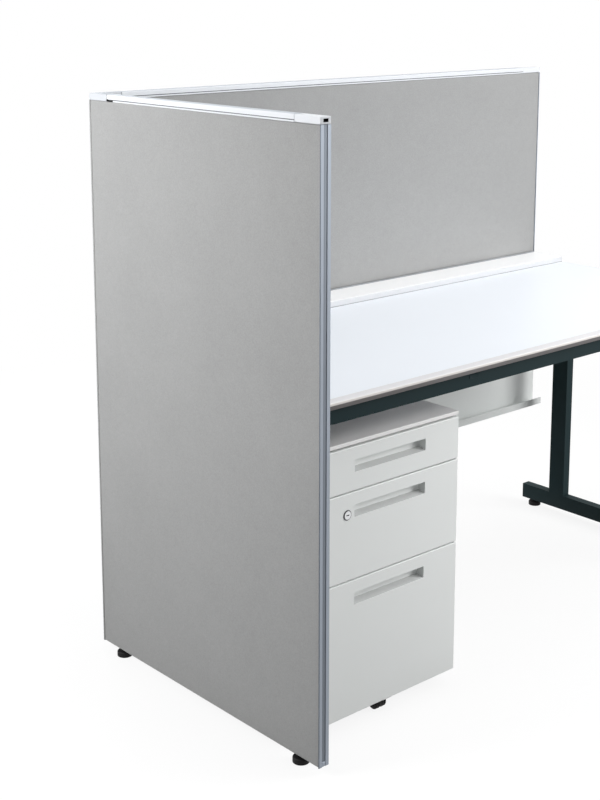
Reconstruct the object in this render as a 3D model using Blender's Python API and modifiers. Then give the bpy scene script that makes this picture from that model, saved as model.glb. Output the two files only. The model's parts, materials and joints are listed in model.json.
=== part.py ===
# System office desk: fabric end panel, back screen, desktop with a wiring duct, rolling drawer pedestal.
# Units are metres. X runs along the desk, Y runs away from the user, Z is up, and the floor is Z = 0.
import math

import bmesh
import bpy
from mathutils import Matrix, Vector

# Fits
FIT = 0.0003               # gap between pieces that touch
OVERSHOOT = 0.002          # how far a cutter runs past the face that it opens

# Whole desk
DESK_WIDTH = 1.450         # outer face of the end panel to outer face of the right leg
DESK_HEIGHT = 0.720        # floor to desktop
DESK_SETBACK = 0.022       # front edge of the end panel to front edge of the desktop
PANEL_DEPTH = 0.725
PANEL_HEIGHT = 1.250       # floor to the top of the rails
PANEL_THICKNESS = 0.025
FLOOR_GAP = 0.017          # floor to the underside of the end panel and of the leg

# Frame of the end panel and of the back screen
GROOVE_WIDTH = 0.009       # linking groove in the edge of a post
GROOVE_DEPTH = 0.008
POST_WALL = 0.0017         # metal beside the groove
POST_WEB = 0.005           # metal behind the groove
POST_FACE = 0.0015         # edge of a post that shows beside a pad
PAD_ROUND = 0.0015
BASE_RAIL_HEIGHT = 0.030
SCREEN_RAIL_HEIGHT = 0.060
SCREEN_RAIL_WALL = 0.002

# Top rails, end caps and corner connector
RAIL_HEIGHT = 0.014
RAIL_FLANGE = 0.003        # strip below the shadow groove
RAIL_GROOVE_HEIGHT = 0.0018
RAIL_GROOVE_DEPTH = 0.003
RAIL_ROUND = 0.002
NOTCH_LENGTH = 0.022       # cut in the flange beside the corner connector
NOTCH_DEPTH = 0.004
CAP_LENGTH = 0.070
CAP_ROUND = 0.0015
SOCKET_WIDTH = 0.012       # square socket in the end of a cap
SOCKET_HEIGHT = 0.0065
SOCKET_DEPTH = 0.010
CONNECTOR_LEG = 0.066

# Levelling feet
FOOT_RADIUS = 0.017
FOOT_HEIGHT = 0.012
FOOT_ROUND = 0.003
FOOT_INSET = 0.065         # edge of the end panel to the centre of a foot
COLLAR_RADIUS = 0.0058
STEM_RADIUS = 0.004
STEM_REACH = 0.022         # thread inside the rail above the foot

# Desktop
TOP_THICKNESS = 0.022
EDGE_DEPTH = 0.0225        # moulded front edge, front to back
EDGE_ROUND = 0.0025
EDGE_FACE = 0.0055         # upright part of the edge, measured from the desktop
EDGE_UNDERCUT = 0.0205     # how far the lower part slopes back

# Steel frame
BEAM_HEIGHT = 0.035
BEAM_DEPTH = 0.030
BEAM_WALL = 0.002
BEAM_SETBACK = 0.038       # front edge of the desktop to the front beam
ANGLE_SHEET = 0.003        # support angle on the end panel
ANGLE_WIDTH = 0.040
ANGLE_MARGIN = 0.010       # angle in front of the front beam
LEG_WIDTH = 0.025
LEG_DEPTH = 0.050
LEG_WALL = 0.002
LEG_FOOT_HEIGHT = 0.040
LEG_FOOT_INSET = 0.032     # ends of the leg's foot, from the front and back of the end panel

# Wiring duct, flap and modesty panel
DUCT_WIDTH = 0.100         # rear edge of the desktop to the face of the screen
DUCT_DEPTH = 0.075
DUCT_WALL = 0.0015
SLOT_LENGTH = 0.120        # cable slots in the floor of the duct
SLOT_WIDTH = 0.034
SLOT_MARGIN = 0.012
SLOT_SPACING = 0.700
FLAP_RISE = 0.015          # desktop to the top of the flap
FLAP_SHEET = 0.002
FLAP_ROUND = 0.003
FLAP_END_GAP = 0.002
HINGE_SETBACK = 0.008      # hinge axis to the face of the screen
HINGE_INSET = 0.120        # end of the flap to the outer hinge
HINGE_COUNT = 3
KNUCKLE_RADIUS = 0.0035
KNUCKLE_LENGTH = 0.024
KNUCKLE_GAP = 0.0005
LUG_DROP = 0.001           # hinge axis to the top of a fixed lug
ROD_RADIUS = 0.0017
MODESTY_SHEET = 0.0015
MODESTY_SETBACK = 0.010    # face of the screen to the modesty panel
MODESTY_FLANGE = 0.020
CABLE_TRAY_HEIGHT = 0.300  # floor to the underside of the cable tray
CABLE_TRAY_DEPTH = 0.030
CABLE_TRAY_LIP = 0.018

# Pedestal
PED_WIDTH = 0.395
PED_GAP = 0.045            # inner face of the end panel to the pedestal
PED_SETBACK = 0.062        # front edge of the desktop to the drawer fronts
PED_REAR_GAP = 0.020       # back of the pedestal to the cable tray
PED_HEADROOM = 0.054       # top of the pedestal to the beams
PED_BOARD = 0.008
PED_SHEET = 0.0015
SKIRT_GAP = 0.035          # floor to the lower edge of the case
BASE_PLATE = 0.002
BOARD_ROUND = 0.0012

# Drawers
FRONT_DEPTH = 0.020
FRONT_SHEET = 0.0015
FRONT_ROUND = 0.0012
FRONT_GAP = 0.003          # gap between drawer fronts
TOP_GAP = 0.0045           # top board to the pen drawer
CLOSING_GAP = 0.002        # drawer front to the edge of the case
PEN_HEIGHT = 0.0892
BOX_HEIGHT = 0.180
PULL_WIDTH = 0.198
PULL_HEIGHT = 0.025
PULL_DROP = 0.0265         # top of a drawer front to its pull
PULL_RISE = 0.004          # slope of the pull's floor
TRAY_WALL = 0.0015
TRAY_LIFT = 0.012
TRAY_DROP = 0.010          # top of a drawer front to the rim of its tray
TRAY_REAR_GAP = 0.030
TRAY_RIM = 0.008           # folded edge along the top of a tray's sides
SLIDE_WIDTH = 0.0125       # side of the case to the side of a tray
SLIDE_SIDE_GAP = 0.002
SLIDE_LIFT = 0.010
SLIDE_SETBACK = 0.004
RUNNER_SHEET = 0.0012
PLAIN_SLIDE_HEIGHT = 0.016
FILE_SLIDE_HEIGHT = 0.030
RAIL_LEAD = 0.010          # front of a tray to the start of its rails

# Lock
LOCK_INSET = 0.079         # left edge of the pedestal to the lock
LOCK_DROP = 0.043          # top of the box drawer front to the lock
LOCK_HEAD_RADIUS = 0.0085
LOCK_HEAD_PROUD = 0.0015
BARREL_RADIUS = 0.007
KEY_SLOT_LENGTH = 0.008
KEY_SLOT_WIDTH = 0.002
KEY_SLOT_DEPTH = 0.005
CAM_THICKNESS = 0.006
CAM_RIM = 0.001
PIN_RADIUS = 0.002
PIN_PLAY = 0.0006
CAM_SWING = math.radians(45.0)
BOLT_THICKNESS = 0.004
BOLT_MARGIN = 0.003        # metal round the slot of the bolt
KEEPER_GAP = 0.0008

# Casters and anti-tip wheel
CASTER_HEIGHT = 0.060      # floor to the base plate
CASTER_INSET = 0.062       # inside of the case to the swivel axis
WHEEL_RADIUS = 0.021
WHEEL_WIDTH = 0.018
WHEEL_ROUND = 0.003
CASTER_TRAIL = 0.014
SWIVEL_RADIUS = 0.018
SWIVEL_PLATE = 0.006
FORK_SHEET = 0.0025
FORK_REACH = 0.013
WHEEL_GAP = 0.0006         # side of a wheel to its fork
AXLE_RADIUS = 0.003
AXLE_BOSS = 0.007
SWIVEL_STEM_RADIUS = 0.004
TIP_WHEEL_RADIUS = 0.014
TIP_WHEEL_WIDTH = 0.018
TIP_WHEEL_CLEAR = 0.002    # floor to the anti-tip wheel
TIP_WHEEL_SETBACK = 0.032  # drawer front to the anti-tip wheel's axle
TIP_PLATE = 0.0025

# Facets
ROUND_SIDES = 24
SMALL_SIDES = 16
ARC_STEPS = 4

# Places worked out from the sizes
LEFT = -DESK_WIDTH / 2
RIGHT = DESK_WIDTH / 2
FRONT = -PANEL_DEPTH / 2
BACK = PANEL_DEPTH / 2
PANEL_INSIDE = LEFT + PANEL_THICKNESS
PANEL_MIDDLE = LEFT + PANEL_THICKNESS / 2
SCREEN_FACE = BACK - PANEL_THICKNESS
SCREEN_MIDDLE = BACK - PANEL_THICKNESS / 2
CORE_THICKNESS = GROOVE_WIDTH + 2 * POST_WALL
PAD_THICKNESS = (PANEL_THICKNESS - CORE_THICKNESS) / 2 - FIT
POST_DEPTH = GROOVE_DEPTH + POST_WEB
RAIL_BOTTOM = PANEL_HEIGHT - RAIL_HEIGHT
SPAN_LEFT = PANEL_INSIDE + FIT
SCREEN_BOTTOM = DESK_HEIGHT + FLAP_RISE
LEG_INSIDE = RIGHT - LEG_WIDTH
LEG_MIDDLE = RIGHT - LEG_WIDTH / 2
FEET_Y = (FRONT + FOOT_INSET, BACK - FOOT_INSET)

DESK_FRONT = FRONT + DESK_SETBACK
DESK_REAR = SCREEN_FACE - DUCT_WIDTH
DESK_UNDERSIDE = DESK_HEIGHT - TOP_THICKNESS
BEAM_TOP = DESK_UNDERSIDE - FIT
BEAM_BOTTOM = BEAM_TOP - BEAM_HEIGHT
BEAM_FRONT = DESK_FRONT + BEAM_SETBACK
DUCT_BOTTOM = DESK_HEIGHT - DUCT_DEPTH
FLAP_UNDERSIDE = SCREEN_BOTTOM - FLAP_SHEET
HINGE_Y = SCREEN_FACE - HINGE_SETBACK
HINGE_Z = FLAP_UNDERSIDE - KNUCKLE_RADIUS - FIT
MODESTY_FACE = SCREEN_FACE - MODESTY_SETBACK

PED_LEFT = PANEL_INSIDE + PED_GAP
PED_RIGHT = PED_LEFT + PED_WIDTH
PED_MIDDLE = PED_LEFT + PED_WIDTH / 2
PED_FRONT = DESK_FRONT + PED_SETBACK
PED_REAR = MODESTY_FACE - CABLE_TRAY_DEPTH - PED_REAR_GAP
PED_TOP = BEAM_BOTTOM - PED_HEADROOM
CASE_FRONT = PED_FRONT + FRONT_DEPTH + CLOSING_GAP
CASE_TOP = PED_TOP - PED_BOARD - FIT
BASE_TOP = CASTER_HEIGHT + BASE_PLATE

PEN_TOP = PED_TOP - PED_BOARD - TOP_GAP
PEN_BOTTOM = PEN_TOP - PEN_HEIGHT
BOX_TOP = PEN_BOTTOM - FRONT_GAP
BOX_BOTTOM = BOX_TOP - BOX_HEIGHT
FILE_TOP = BOX_BOTTOM - FRONT_GAP
PULL_DEPTH = FRONT_DEPTH - FRONT_SHEET
TRAY_FRONT = PED_FRONT + FRONT_DEPTH + FIT
TRAY_REAR = PED_REAR - PED_SHEET - TRAY_REAR_GAP
TRAY_LEFT = PED_LEFT + PED_SHEET + SLIDE_WIDTH
TRAY_RIGHT = PED_RIGHT - PED_SHEET - SLIDE_WIDTH
RUNNER_REACH = SLIDE_WIDTH - SLIDE_SIDE_GAP

LOCK_X = PED_LEFT + LOCK_INSET
LOCK_Z = BOX_TOP - LOCK_DROP
BOLT_THROW = PED_SHEET + SLIDE_WIDTH
CAM_ARM = BOLT_THROW / (2 * math.sin(CAM_SWING))
CAM_FRONT = TRAY_FRONT + TRAY_WALL + FIT
BOLT_FRONT = CAM_FRONT + CAM_THICKNESS + FIT
BOLT_REAR = BOLT_FRONT + BOLT_THICKNESS
SLOT_BOTTOM = LOCK_Z - CAM_ARM - PIN_RADIUS - PIN_PLAY
SLOT_TOP = LOCK_Z - CAM_ARM * math.cos(CAM_SWING) + PIN_RADIUS + PIN_PLAY
BOLT_BOTTOM = SLOT_BOTTOM - BOLT_MARGIN
BOLT_TOP = SLOT_TOP + BOLT_MARGIN

# Finish: colour, roughness, metallic
FINISHES = {
    "grey_fabric": ((0.42, 0.42, 0.42), 0.95, 0.0),
    "core_board": ((0.45, 0.36, 0.26), 0.80, 0.0),
    "aluminium": ((0.52, 0.54, 0.57), 0.40, 0.9),
    "silver_cap": ((0.82, 0.83, 0.84), 0.35, 0.2),
    "white_laminate": ((0.84, 0.87, 0.90), 0.25, 0.0),
    "edge_moulding": ((0.72, 0.70, 0.66), 0.45, 0.0),
    "dark_steel": ((0.014, 0.028, 0.031), 0.45, 0.3),
    "white_steel": ((0.72, 0.74, 0.72), 0.40, 0.0),
    "grey_steel": ((0.50, 0.52, 0.51), 0.45, 0.0),
    "pedestal_board": ((0.66, 0.65, 0.64), 0.45, 0.0),
    "zinc_steel": ((0.60, 0.61, 0.62), 0.35, 0.9),
    "lock_chrome": ((0.75, 0.76, 0.77), 0.15, 1.0),
    "black_plastic": ((0.012, 0.012, 0.013), 0.50, 0.0),
}


def clear_scene():
    for obj in list(bpy.data.objects):
        bpy.data.objects.remove(obj, do_unlink=True)


def new_collection(name):
    collection = bpy.data.collections.new(name)
    bpy.context.scene.collection.children.link(collection)
    return collection


def new_material(name):
    colour, roughness, metallic = FINISHES[name]
    material = bpy.data.materials.new(name)
    material.use_nodes = True
    shader = material.node_tree.nodes["Principled BSDF"]
    shader.inputs["Base Color"].default_value = (*colour, 1.0)
    shader.inputs["Roughness"].default_value = roughness
    shader.inputs["Metallic"].default_value = metallic
    return material


def move_to(obj, collection):
    for old in list(obj.users_collection):
        old.objects.unlink(obj)
    collection.objects.link(obj)


def carrier(name, place, parent=None):
    empty = bpy.data.objects.new(name, None)
    empty.location = place
    parts.objects.link(empty)
    if parent:
        hang(empty, parent)
    return empty


def hang(obj, parent):
    obj.parent = parent
    obj.matrix_parent_inverse = Matrix.Translation(-parent.location)


def finish(obj, name, look, parent):
    obj.name = name
    obj.data.name = name
    move_to(obj, parts)
    obj.data.materials.clear()
    obj.data.materials.append(materials[look])
    hang(obj, parent)
    return obj


def box(low, high):
    low = Vector(low)
    high = Vector(high)
    bpy.ops.mesh.primitive_cube_add(size=1.0, location=(low + high) / 2)
    obj = bpy.context.object
    obj.scale = high - low
    bpy.ops.object.transform_apply(location=False, rotation=False, scale=True)
    return obj


def cylinder(radius, start, end, sides=ROUND_SIDES):
    start = Vector(start)
    span = Vector(end) - start
    turn = span.to_track_quat("Z", "Y").to_euler()
    bpy.ops.mesh.primitive_cylinder_add(
        vertices=sides, radius=radius, depth=span.length, location=start + span / 2, rotation=turn
    )
    obj = bpy.context.object
    obj.data.shade_smooth()
    obj.data.set_sharp_from_angle(angle=math.radians(40.0))
    return obj


# An outline lies in the named plane and is extruded along the third axis from start to end
PLANES = {
    "XY": ((0.0, 0.0, 0.0), Vector((0.0, 0.0, 1.0))),
    "XZ": ((math.pi / 2, 0.0, 0.0), Vector((0.0, 1.0, 0.0))),
    "YZ": ((math.pi / 2, 0.0, math.pi / 2), Vector((1.0, 0.0, 0.0))),
}


def extrusion(plane, start, end, *loops):
    turn, axis = PLANES[plane]
    curve = bpy.data.curves.new("outline", "CURVE")
    curve.dimensions = "2D"
    curve.fill_mode = "BOTH"
    curve.extrude = (end - start) / 2
    for loop in loops:
        spline = curve.splines.new("POLY")
        spline.points.add(len(loop) - 1)
        for point, (across, along) in zip(spline.points, loop):
            point.co = (across, along, 0.0, 1.0)
        spline.use_cyclic_u = True
    shape = bpy.data.objects.new("outline", curve)
    shape.rotation_euler = turn
    shape.location = axis * (start + end) / 2
    bpy.context.scene.collection.objects.link(shape)
    bpy.context.view_layer.update()
    evaluated = shape.evaluated_get(bpy.context.evaluated_depsgraph_get())
    mesh = bpy.data.meshes.new_from_object(evaluated)
    weld(mesh)
    obj = bpy.data.objects.new("outline", mesh)
    obj.matrix_world = shape.matrix_world.copy()
    bpy.context.scene.collection.objects.link(obj)
    bpy.data.objects.remove(shape, do_unlink=True)
    return obj


def weld(mesh):
    grid = bmesh.new()
    grid.from_mesh(mesh)
    bmesh.ops.remove_doubles(grid, verts=grid.verts, dist=0.00001)
    bmesh.ops.recalc_face_normals(grid, faces=grid.faces)
    grid.to_mesh(mesh)
    grid.free()


def turned(profile, closed, centre, turn, sides):
    mesh = bpy.data.meshes.new("profile")
    grid = bmesh.new()
    corners = [grid.verts.new((radius, 0.0, height)) for radius, height in profile]
    for first, second in zip(corners, corners[1:]):
        grid.edges.new((first, second))
    if closed:
        grid.edges.new((corners[-1], corners[0]))
    grid.to_mesh(mesh)
    grid.free()
    obj = bpy.data.objects.new("turned", mesh)
    obj.location = centre
    obj.rotation_euler = turn
    bpy.context.scene.collection.objects.link(obj)
    screw = obj.modifiers.new("turn", "SCREW")
    screw.steps = sides
    screw.render_steps = sides
    screw.use_merge_vertices = True
    screw.merge_threshold = 0.00001
    return obj


def arc(centre_a, centre_b, radius, start, end, steps=ARC_STEPS):
    points = []
    for step in range(steps + 1):
        angle = math.radians(start + (end - start) * step / steps)
        points.append((centre_a + radius * math.cos(angle), centre_b + radius * math.sin(angle)))
    return points


def rectangle(low_a, low_b, high_a, high_b):
    return [(low_a, low_b), (high_a, low_b), (high_a, high_b), (low_a, high_b)]


def soften(obj, width):
    bevel = obj.modifiers.new("soft_edges", "BEVEL")
    bevel.width = width
    bevel.segments = 2
    bevel.limit_method = "ANGLE"
    return obj


def combine(target, operation, *tools):
    for tool in tools:
        move_to(tool, cutters)
        tool.hide_render = True
        tool.display_type = "WIRE"
        boolean = target.modifiers.new(operation.lower(), "BOOLEAN")
        boolean.operation = operation
        boolean.solver = "EXACT"
        boolean.object = tool
    return target


def cut(target, *tools):
    return combine(target, "DIFFERENCE", *tools)


def join(target, *tools):
    return combine(target, "UNION", *tools)


# Post section, drawn from the middle of its outer edge: across is the panel's thickness, inwards is into the panel
def post_section(place, inwards):
    inwards = Vector(inwards)
    across = Vector((-inwards.y, inwards.x))
    half = PANEL_THICKNESS / 2
    neck = CORE_THICKNESS / 2
    groove = GROOVE_WIDTH / 2
    steps = [
        (-half, 0.0), (-groove, 0.0), (-groove, GROOVE_DEPTH), (groove, GROOVE_DEPTH), (groove, 0.0), (half, 0.0),
        (half, POST_FACE), (neck, POST_FACE), (neck, POST_DEPTH), (-neck, POST_DEPTH), (-neck, POST_FACE),
        (-half, POST_FACE),
    ]
    return [Vector(place) + across * side + inwards * depth for side, depth in steps]


def top_rail(plane, start, end, middle):
    half = PANEL_THICKNESS / 2
    groove_bottom = RAIL_BOTTOM + RAIL_FLANGE
    groove_top = groove_bottom + RAIL_GROOVE_HEIGHT
    shoulder = PANEL_HEIGHT - RAIL_ROUND
    section = [
        (middle - half, RAIL_BOTTOM), (middle + half, RAIL_BOTTOM),
        *arc(middle + half - RAIL_ROUND, shoulder, RAIL_ROUND, 0.0, 90.0),
        *arc(middle - half + RAIL_ROUND, shoulder, RAIL_ROUND, 90.0, 180.0),
    ]
    rail = extrusion(plane, start, end, section)
    for edge in (middle - half, middle + half):
        groove = rectangle(edge - RAIL_GROOVE_DEPTH, groove_bottom, edge + RAIL_GROOVE_DEPTH, groove_top)
        cut(rail, extrusion(plane, start - OVERSHOOT, end + OVERSHOOT, groove))
    return rail


def build_end_panel(desk):
    top = RAIL_BOTTOM - FIT
    base_top = FLOOR_GAP + BASE_RAIL_HEIGHT
    core_low = PANEL_MIDDLE - CORE_THICKNESS / 2
    core_high = PANEL_MIDDLE + CORE_THICKNESS / 2
    core_front = FRONT + POST_DEPTH + FIT
    core_back = BACK - POST_DEPTH - FIT
    pad_front = FRONT + POST_FACE + FIT
    pad_back = BACK - POST_FACE - FIT

    post = extrusion("XY", FLOOR_GAP, top, post_section((PANEL_MIDDLE, FRONT), (0.0, 1.0)))
    finish(post, "end_panel_front_post", "aluminium", desk)
    post = extrusion("XY", FLOOR_GAP, top, post_section((PANEL_MIDDLE, BACK), (0.0, -1.0)))
    finish(post, "end_panel_rear_post", "aluminium", desk)

    core = box((core_low, core_front, base_top + FIT), (core_high, core_back, top))
    finish(core, "end_panel_core", "core_board", desk)
    base = box((core_low, core_front, FLOOR_GAP), (core_high, core_back, base_top))
    for y in FEET_Y:
        low = (PANEL_MIDDLE, y, FLOOR_GAP - OVERSHOOT)
        high = (PANEL_MIDDLE, y, base_top + OVERSHOOT)
        cut(base, cylinder(STEM_RADIUS + FIT, low, high, SMALL_SIDES))
    finish(base, "end_panel_base_rail", "aluminium", desk)

    pad = box((LEFT, pad_front, FLOOR_GAP), (LEFT + PAD_THICKNESS, pad_back, top))
    finish(soften(pad, PAD_ROUND), "end_panel_outer_pad", "grey_fabric", desk)
    pad = box((PANEL_INSIDE - PAD_THICKNESS, pad_front, FLOOR_GAP), (PANEL_INSIDE, pad_back, top))
    finish(soften(pad, PAD_ROUND), "end_panel_inner_pad", "grey_fabric", desk)

    rail_end = BACK - CONNECTOR_LEG - FIT
    rail = top_rail("XZ", FRONT + CAP_LENGTH + FIT, rail_end, PANEL_MIDDLE)
    notch = box(
        (LEFT - OVERSHOOT, rail_end - NOTCH_LENGTH, RAIL_BOTTOM - OVERSHOOT),
        (LEFT + NOTCH_DEPTH, rail_end + OVERSHOOT, RAIL_BOTTOM + RAIL_FLANGE + RAIL_GROOVE_HEIGHT / 2),
    )
    finish(cut(rail, notch), "end_panel_top_rail", "silver_cap", desk)

    cap = box((LEFT, FRONT, RAIL_BOTTOM), (PANEL_INSIDE, FRONT + CAP_LENGTH, PANEL_HEIGHT))
    socket_middle = RAIL_BOTTOM + RAIL_HEIGHT / 2
    socket = box(
        (PANEL_MIDDLE - SOCKET_WIDTH / 2, FRONT - OVERSHOOT, socket_middle - SOCKET_HEIGHT / 2),
        (PANEL_MIDDLE + SOCKET_WIDTH / 2, FRONT + SOCKET_DEPTH, socket_middle + SOCKET_HEIGHT / 2),
    )
    finish(cut(soften(cap, CAP_ROUND), socket), "end_panel_front_cap", "silver_cap", desk)

    corner = [
        (LEFT, BACK - CONNECTOR_LEG), (PANEL_INSIDE, BACK - CONNECTOR_LEG), (PANEL_INSIDE, SCREEN_FACE),
        (LEFT + CONNECTOR_LEG, SCREEN_FACE), (LEFT + CONNECTOR_LEG, BACK), (LEFT, BACK),
    ]
    connector = extrusion("XY", RAIL_BOTTOM, PANEL_HEIGHT, corner)
    finish(soften(connector, CAP_ROUND), "corner_connector", "silver_cap", desk)


def build_screen(desk):
    top = RAIL_BOTTOM - FIT
    bottom = SCREEN_BOTTOM + FIT
    pad_right = RIGHT - POST_FACE - FIT
    core_right = RIGHT - POST_DEPTH - FIT
    core_low = SCREEN_MIDDLE - CORE_THICKNESS / 2
    core_high = SCREEN_MIDDLE + CORE_THICKNESS / 2

    core = box((SPAN_LEFT, core_low, bottom), (core_right, core_high, top))
    finish(core, "screen_core", "core_board", desk)
    pad = box((SPAN_LEFT, SCREEN_FACE, bottom), (pad_right, SCREEN_FACE + PAD_THICKNESS, top))
    finish(soften(pad, PAD_ROUND), "screen_front_pad", "grey_fabric", desk)
    pad = box((SPAN_LEFT, BACK - PAD_THICKNESS, bottom), (pad_right, BACK, top))
    finish(soften(pad, PAD_ROUND), "screen_rear_pad", "grey_fabric", desk)

    post = extrusion("XY", bottom, top, post_section((RIGHT, SCREEN_MIDDLE), (-1.0, 0.0)))
    finish(post, "screen_end_post", "aluminium", desk)

    rail_start = LEFT + CONNECTOR_LEG + FIT
    rail = top_rail("YZ", rail_start, RIGHT - CAP_LENGTH - FIT, SCREEN_MIDDLE)
    finish(rail, "screen_top_rail", "silver_cap", desk)

    cap = box((RIGHT - CAP_LENGTH, SCREEN_FACE, RAIL_BOTTOM), (RIGHT, BACK, PANEL_HEIGHT))
    socket_middle = RAIL_BOTTOM + RAIL_HEIGHT / 2
    socket = box(
        (RIGHT - SOCKET_DEPTH, SCREEN_MIDDLE - SOCKET_WIDTH / 2, socket_middle - SOCKET_HEIGHT / 2),
        (RIGHT + OVERSHOOT, SCREEN_MIDDLE + SOCKET_WIDTH / 2, socket_middle + SOCKET_HEIGHT / 2),
    )
    finish(cut(soften(cap, CAP_ROUND), socket), "screen_end_cap", "silver_cap", desk)

    rail_low = SCREEN_BOTTOM - SCREEN_RAIL_HEIGHT
    wall = SCREEN_RAIL_WALL
    channel = [
        (SCREEN_FACE, rail_low), (SCREEN_FACE + wall, rail_low), (SCREEN_FACE + wall, SCREEN_BOTTOM - wall),
        (BACK - wall, SCREEN_BOTTOM - wall), (BACK - wall, rail_low), (BACK, rail_low),
        (BACK, SCREEN_BOTTOM), (SCREEN_FACE, SCREEN_BOTTOM),
    ]
    finish(extrusion("YZ", SPAN_LEFT, RIGHT, channel), "screen_base_channel", "aluminium", desk)


def build_desktop(desk):
    edge_back = DESK_FRONT + EDGE_DEPTH
    board = box((SPAN_LEFT, edge_back + FIT, DESK_UNDERSIDE), (RIGHT, DESK_REAR, DESK_HEIGHT))
    finish(board, "desktop", "white_laminate", desk)
    section = [
        (edge_back, DESK_HEIGHT),
        *arc(DESK_FRONT + EDGE_ROUND, DESK_HEIGHT - EDGE_ROUND, EDGE_ROUND, 90.0, 180.0),
        (DESK_FRONT, DESK_HEIGHT - EDGE_FACE),
        (DESK_FRONT + EDGE_UNDERCUT, DESK_UNDERSIDE), (edge_back, DESK_UNDERSIDE),
    ]
    finish(extrusion("YZ", SPAN_LEFT, RIGHT, section), "desktop_front_edge", "edge_moulding", desk)


def build_frame(desk):
    angle_left = SPAN_LEFT
    beam_left = angle_left + ANGLE_SHEET + FIT
    beam_right = LEG_INSIDE - FIT
    leaf_top = BEAM_BOTTOM - FIT
    angle = [
        (angle_left, leaf_top - ANGLE_SHEET), (angle_left + ANGLE_WIDTH, leaf_top - ANGLE_SHEET),
        (angle_left + ANGLE_WIDTH, leaf_top), (angle_left + ANGLE_SHEET, leaf_top),
        (angle_left + ANGLE_SHEET, BEAM_TOP), (angle_left, BEAM_TOP),
    ]
    support = extrusion("XZ", BEAM_FRONT - ANGLE_MARGIN, DESK_REAR, angle)
    finish(support, "end_panel_support_angle", "dark_steel", desk)

    for name, beam_front in (("front_beam", BEAM_FRONT), ("rear_beam", DESK_REAR - BEAM_DEPTH)):
        outer = rectangle(beam_front, BEAM_BOTTOM, beam_front + BEAM_DEPTH, BEAM_TOP)
        inner = rectangle(
            beam_front + BEAM_WALL, BEAM_BOTTOM + BEAM_WALL,
            beam_front + BEAM_DEPTH - BEAM_WALL, BEAM_TOP - BEAM_WALL,
        )
        finish(extrusion("YZ", beam_left, beam_right, outer, inner), name, "dark_steel", desk)


def leg_outline(inset, top):
    foot_top = FLOOR_GAP + LEG_FOOT_HEIGHT
    front_post = BEAM_FRONT
    rear_post = DESK_REAR - LEG_DEPTH
    return [
        (FRONT + LEG_FOOT_INSET + inset, FLOOR_GAP + inset), (BACK - LEG_FOOT_INSET - inset, FLOOR_GAP + inset),
        (BACK - LEG_FOOT_INSET - inset, foot_top - inset), (rear_post + LEG_DEPTH - inset, foot_top - inset),
        (rear_post + LEG_DEPTH - inset, top), (rear_post + inset, top), (rear_post + inset, foot_top - inset),
        (front_post + LEG_DEPTH - inset, foot_top - inset), (front_post + LEG_DEPTH - inset, top),
        (front_post + inset, top), (front_post + inset, foot_top - inset),
        (FRONT + LEG_FOOT_INSET + inset, foot_top - inset),
    ]


def build_leg(desk):
    leg = extrusion("YZ", LEG_INSIDE, RIGHT, leg_outline(0.0, BEAM_TOP))
    hollow = extrusion("YZ", LEG_INSIDE + LEG_WALL, RIGHT - LEG_WALL, leg_outline(LEG_WALL, BEAM_TOP + OVERSHOOT))
    cut(leg, hollow)
    for y in FEET_Y:
        low = (LEG_MIDDLE, y, FLOOR_GAP - OVERSHOOT)
        high = (LEG_MIDDLE, y, FLOOR_GAP + LEG_WALL + OVERSHOOT)
        cut(leg, cylinder(STEM_RADIUS + FIT, low, high, SMALL_SIDES))
    finish(leg, "right_leg", "dark_steel", desk)


def build_feet(desk):
    seat = FLOOR_GAP - FIT
    shoulder = (COLLAR_RADIUS + FOOT_RADIUS) / 2
    profile = [
        (0.0, FLOOR_GAP + STEM_REACH), (STEM_RADIUS, FLOOR_GAP + STEM_REACH), (STEM_RADIUS, seat),
        (COLLAR_RADIUS, seat), (COLLAR_RADIUS, FOOT_HEIGHT), (shoulder, FOOT_HEIGHT),
        *[(radius, height) for radius, height in reversed(
            arc(FOOT_RADIUS - FOOT_ROUND, FOOT_HEIGHT - FOOT_ROUND, FOOT_ROUND, 0.0, 90.0, 2))],
        *[(radius, height) for radius, height in reversed(
            arc(FOOT_RADIUS - FOOT_ROUND, FOOT_ROUND, FOOT_ROUND, -90.0, 0.0, 2))],
        (0.0, 0.0),
    ]
    for side, x in (("end_panel", PANEL_MIDDLE), ("right_leg", LEG_MIDDLE)):
        for end, y in zip(("front", "rear"), FEET_Y):
            name = f"{side}_{end}_foot"
            axis = carrier(f"{name}_axis", (x, y, 0.0), desk)
            foot = turned(profile, False, (x, y, 0.0), (0.0, 0.0, 0.0), ROUND_SIDES)
            finish(foot, name, "black_plastic", axis)


def hinge_starts():
    first = SPAN_LEFT + FLAP_END_GAP + HINGE_INSET
    last = RIGHT - FLAP_END_GAP - HINGE_INSET - hinge_length()
    return [first + (last - first) * index / (HINGE_COUNT - 1) for index in range(HINGE_COUNT)]


def hinge_length():
    return 3 * KNUCKLE_LENGTH + 2 * KNUCKLE_GAP


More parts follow.
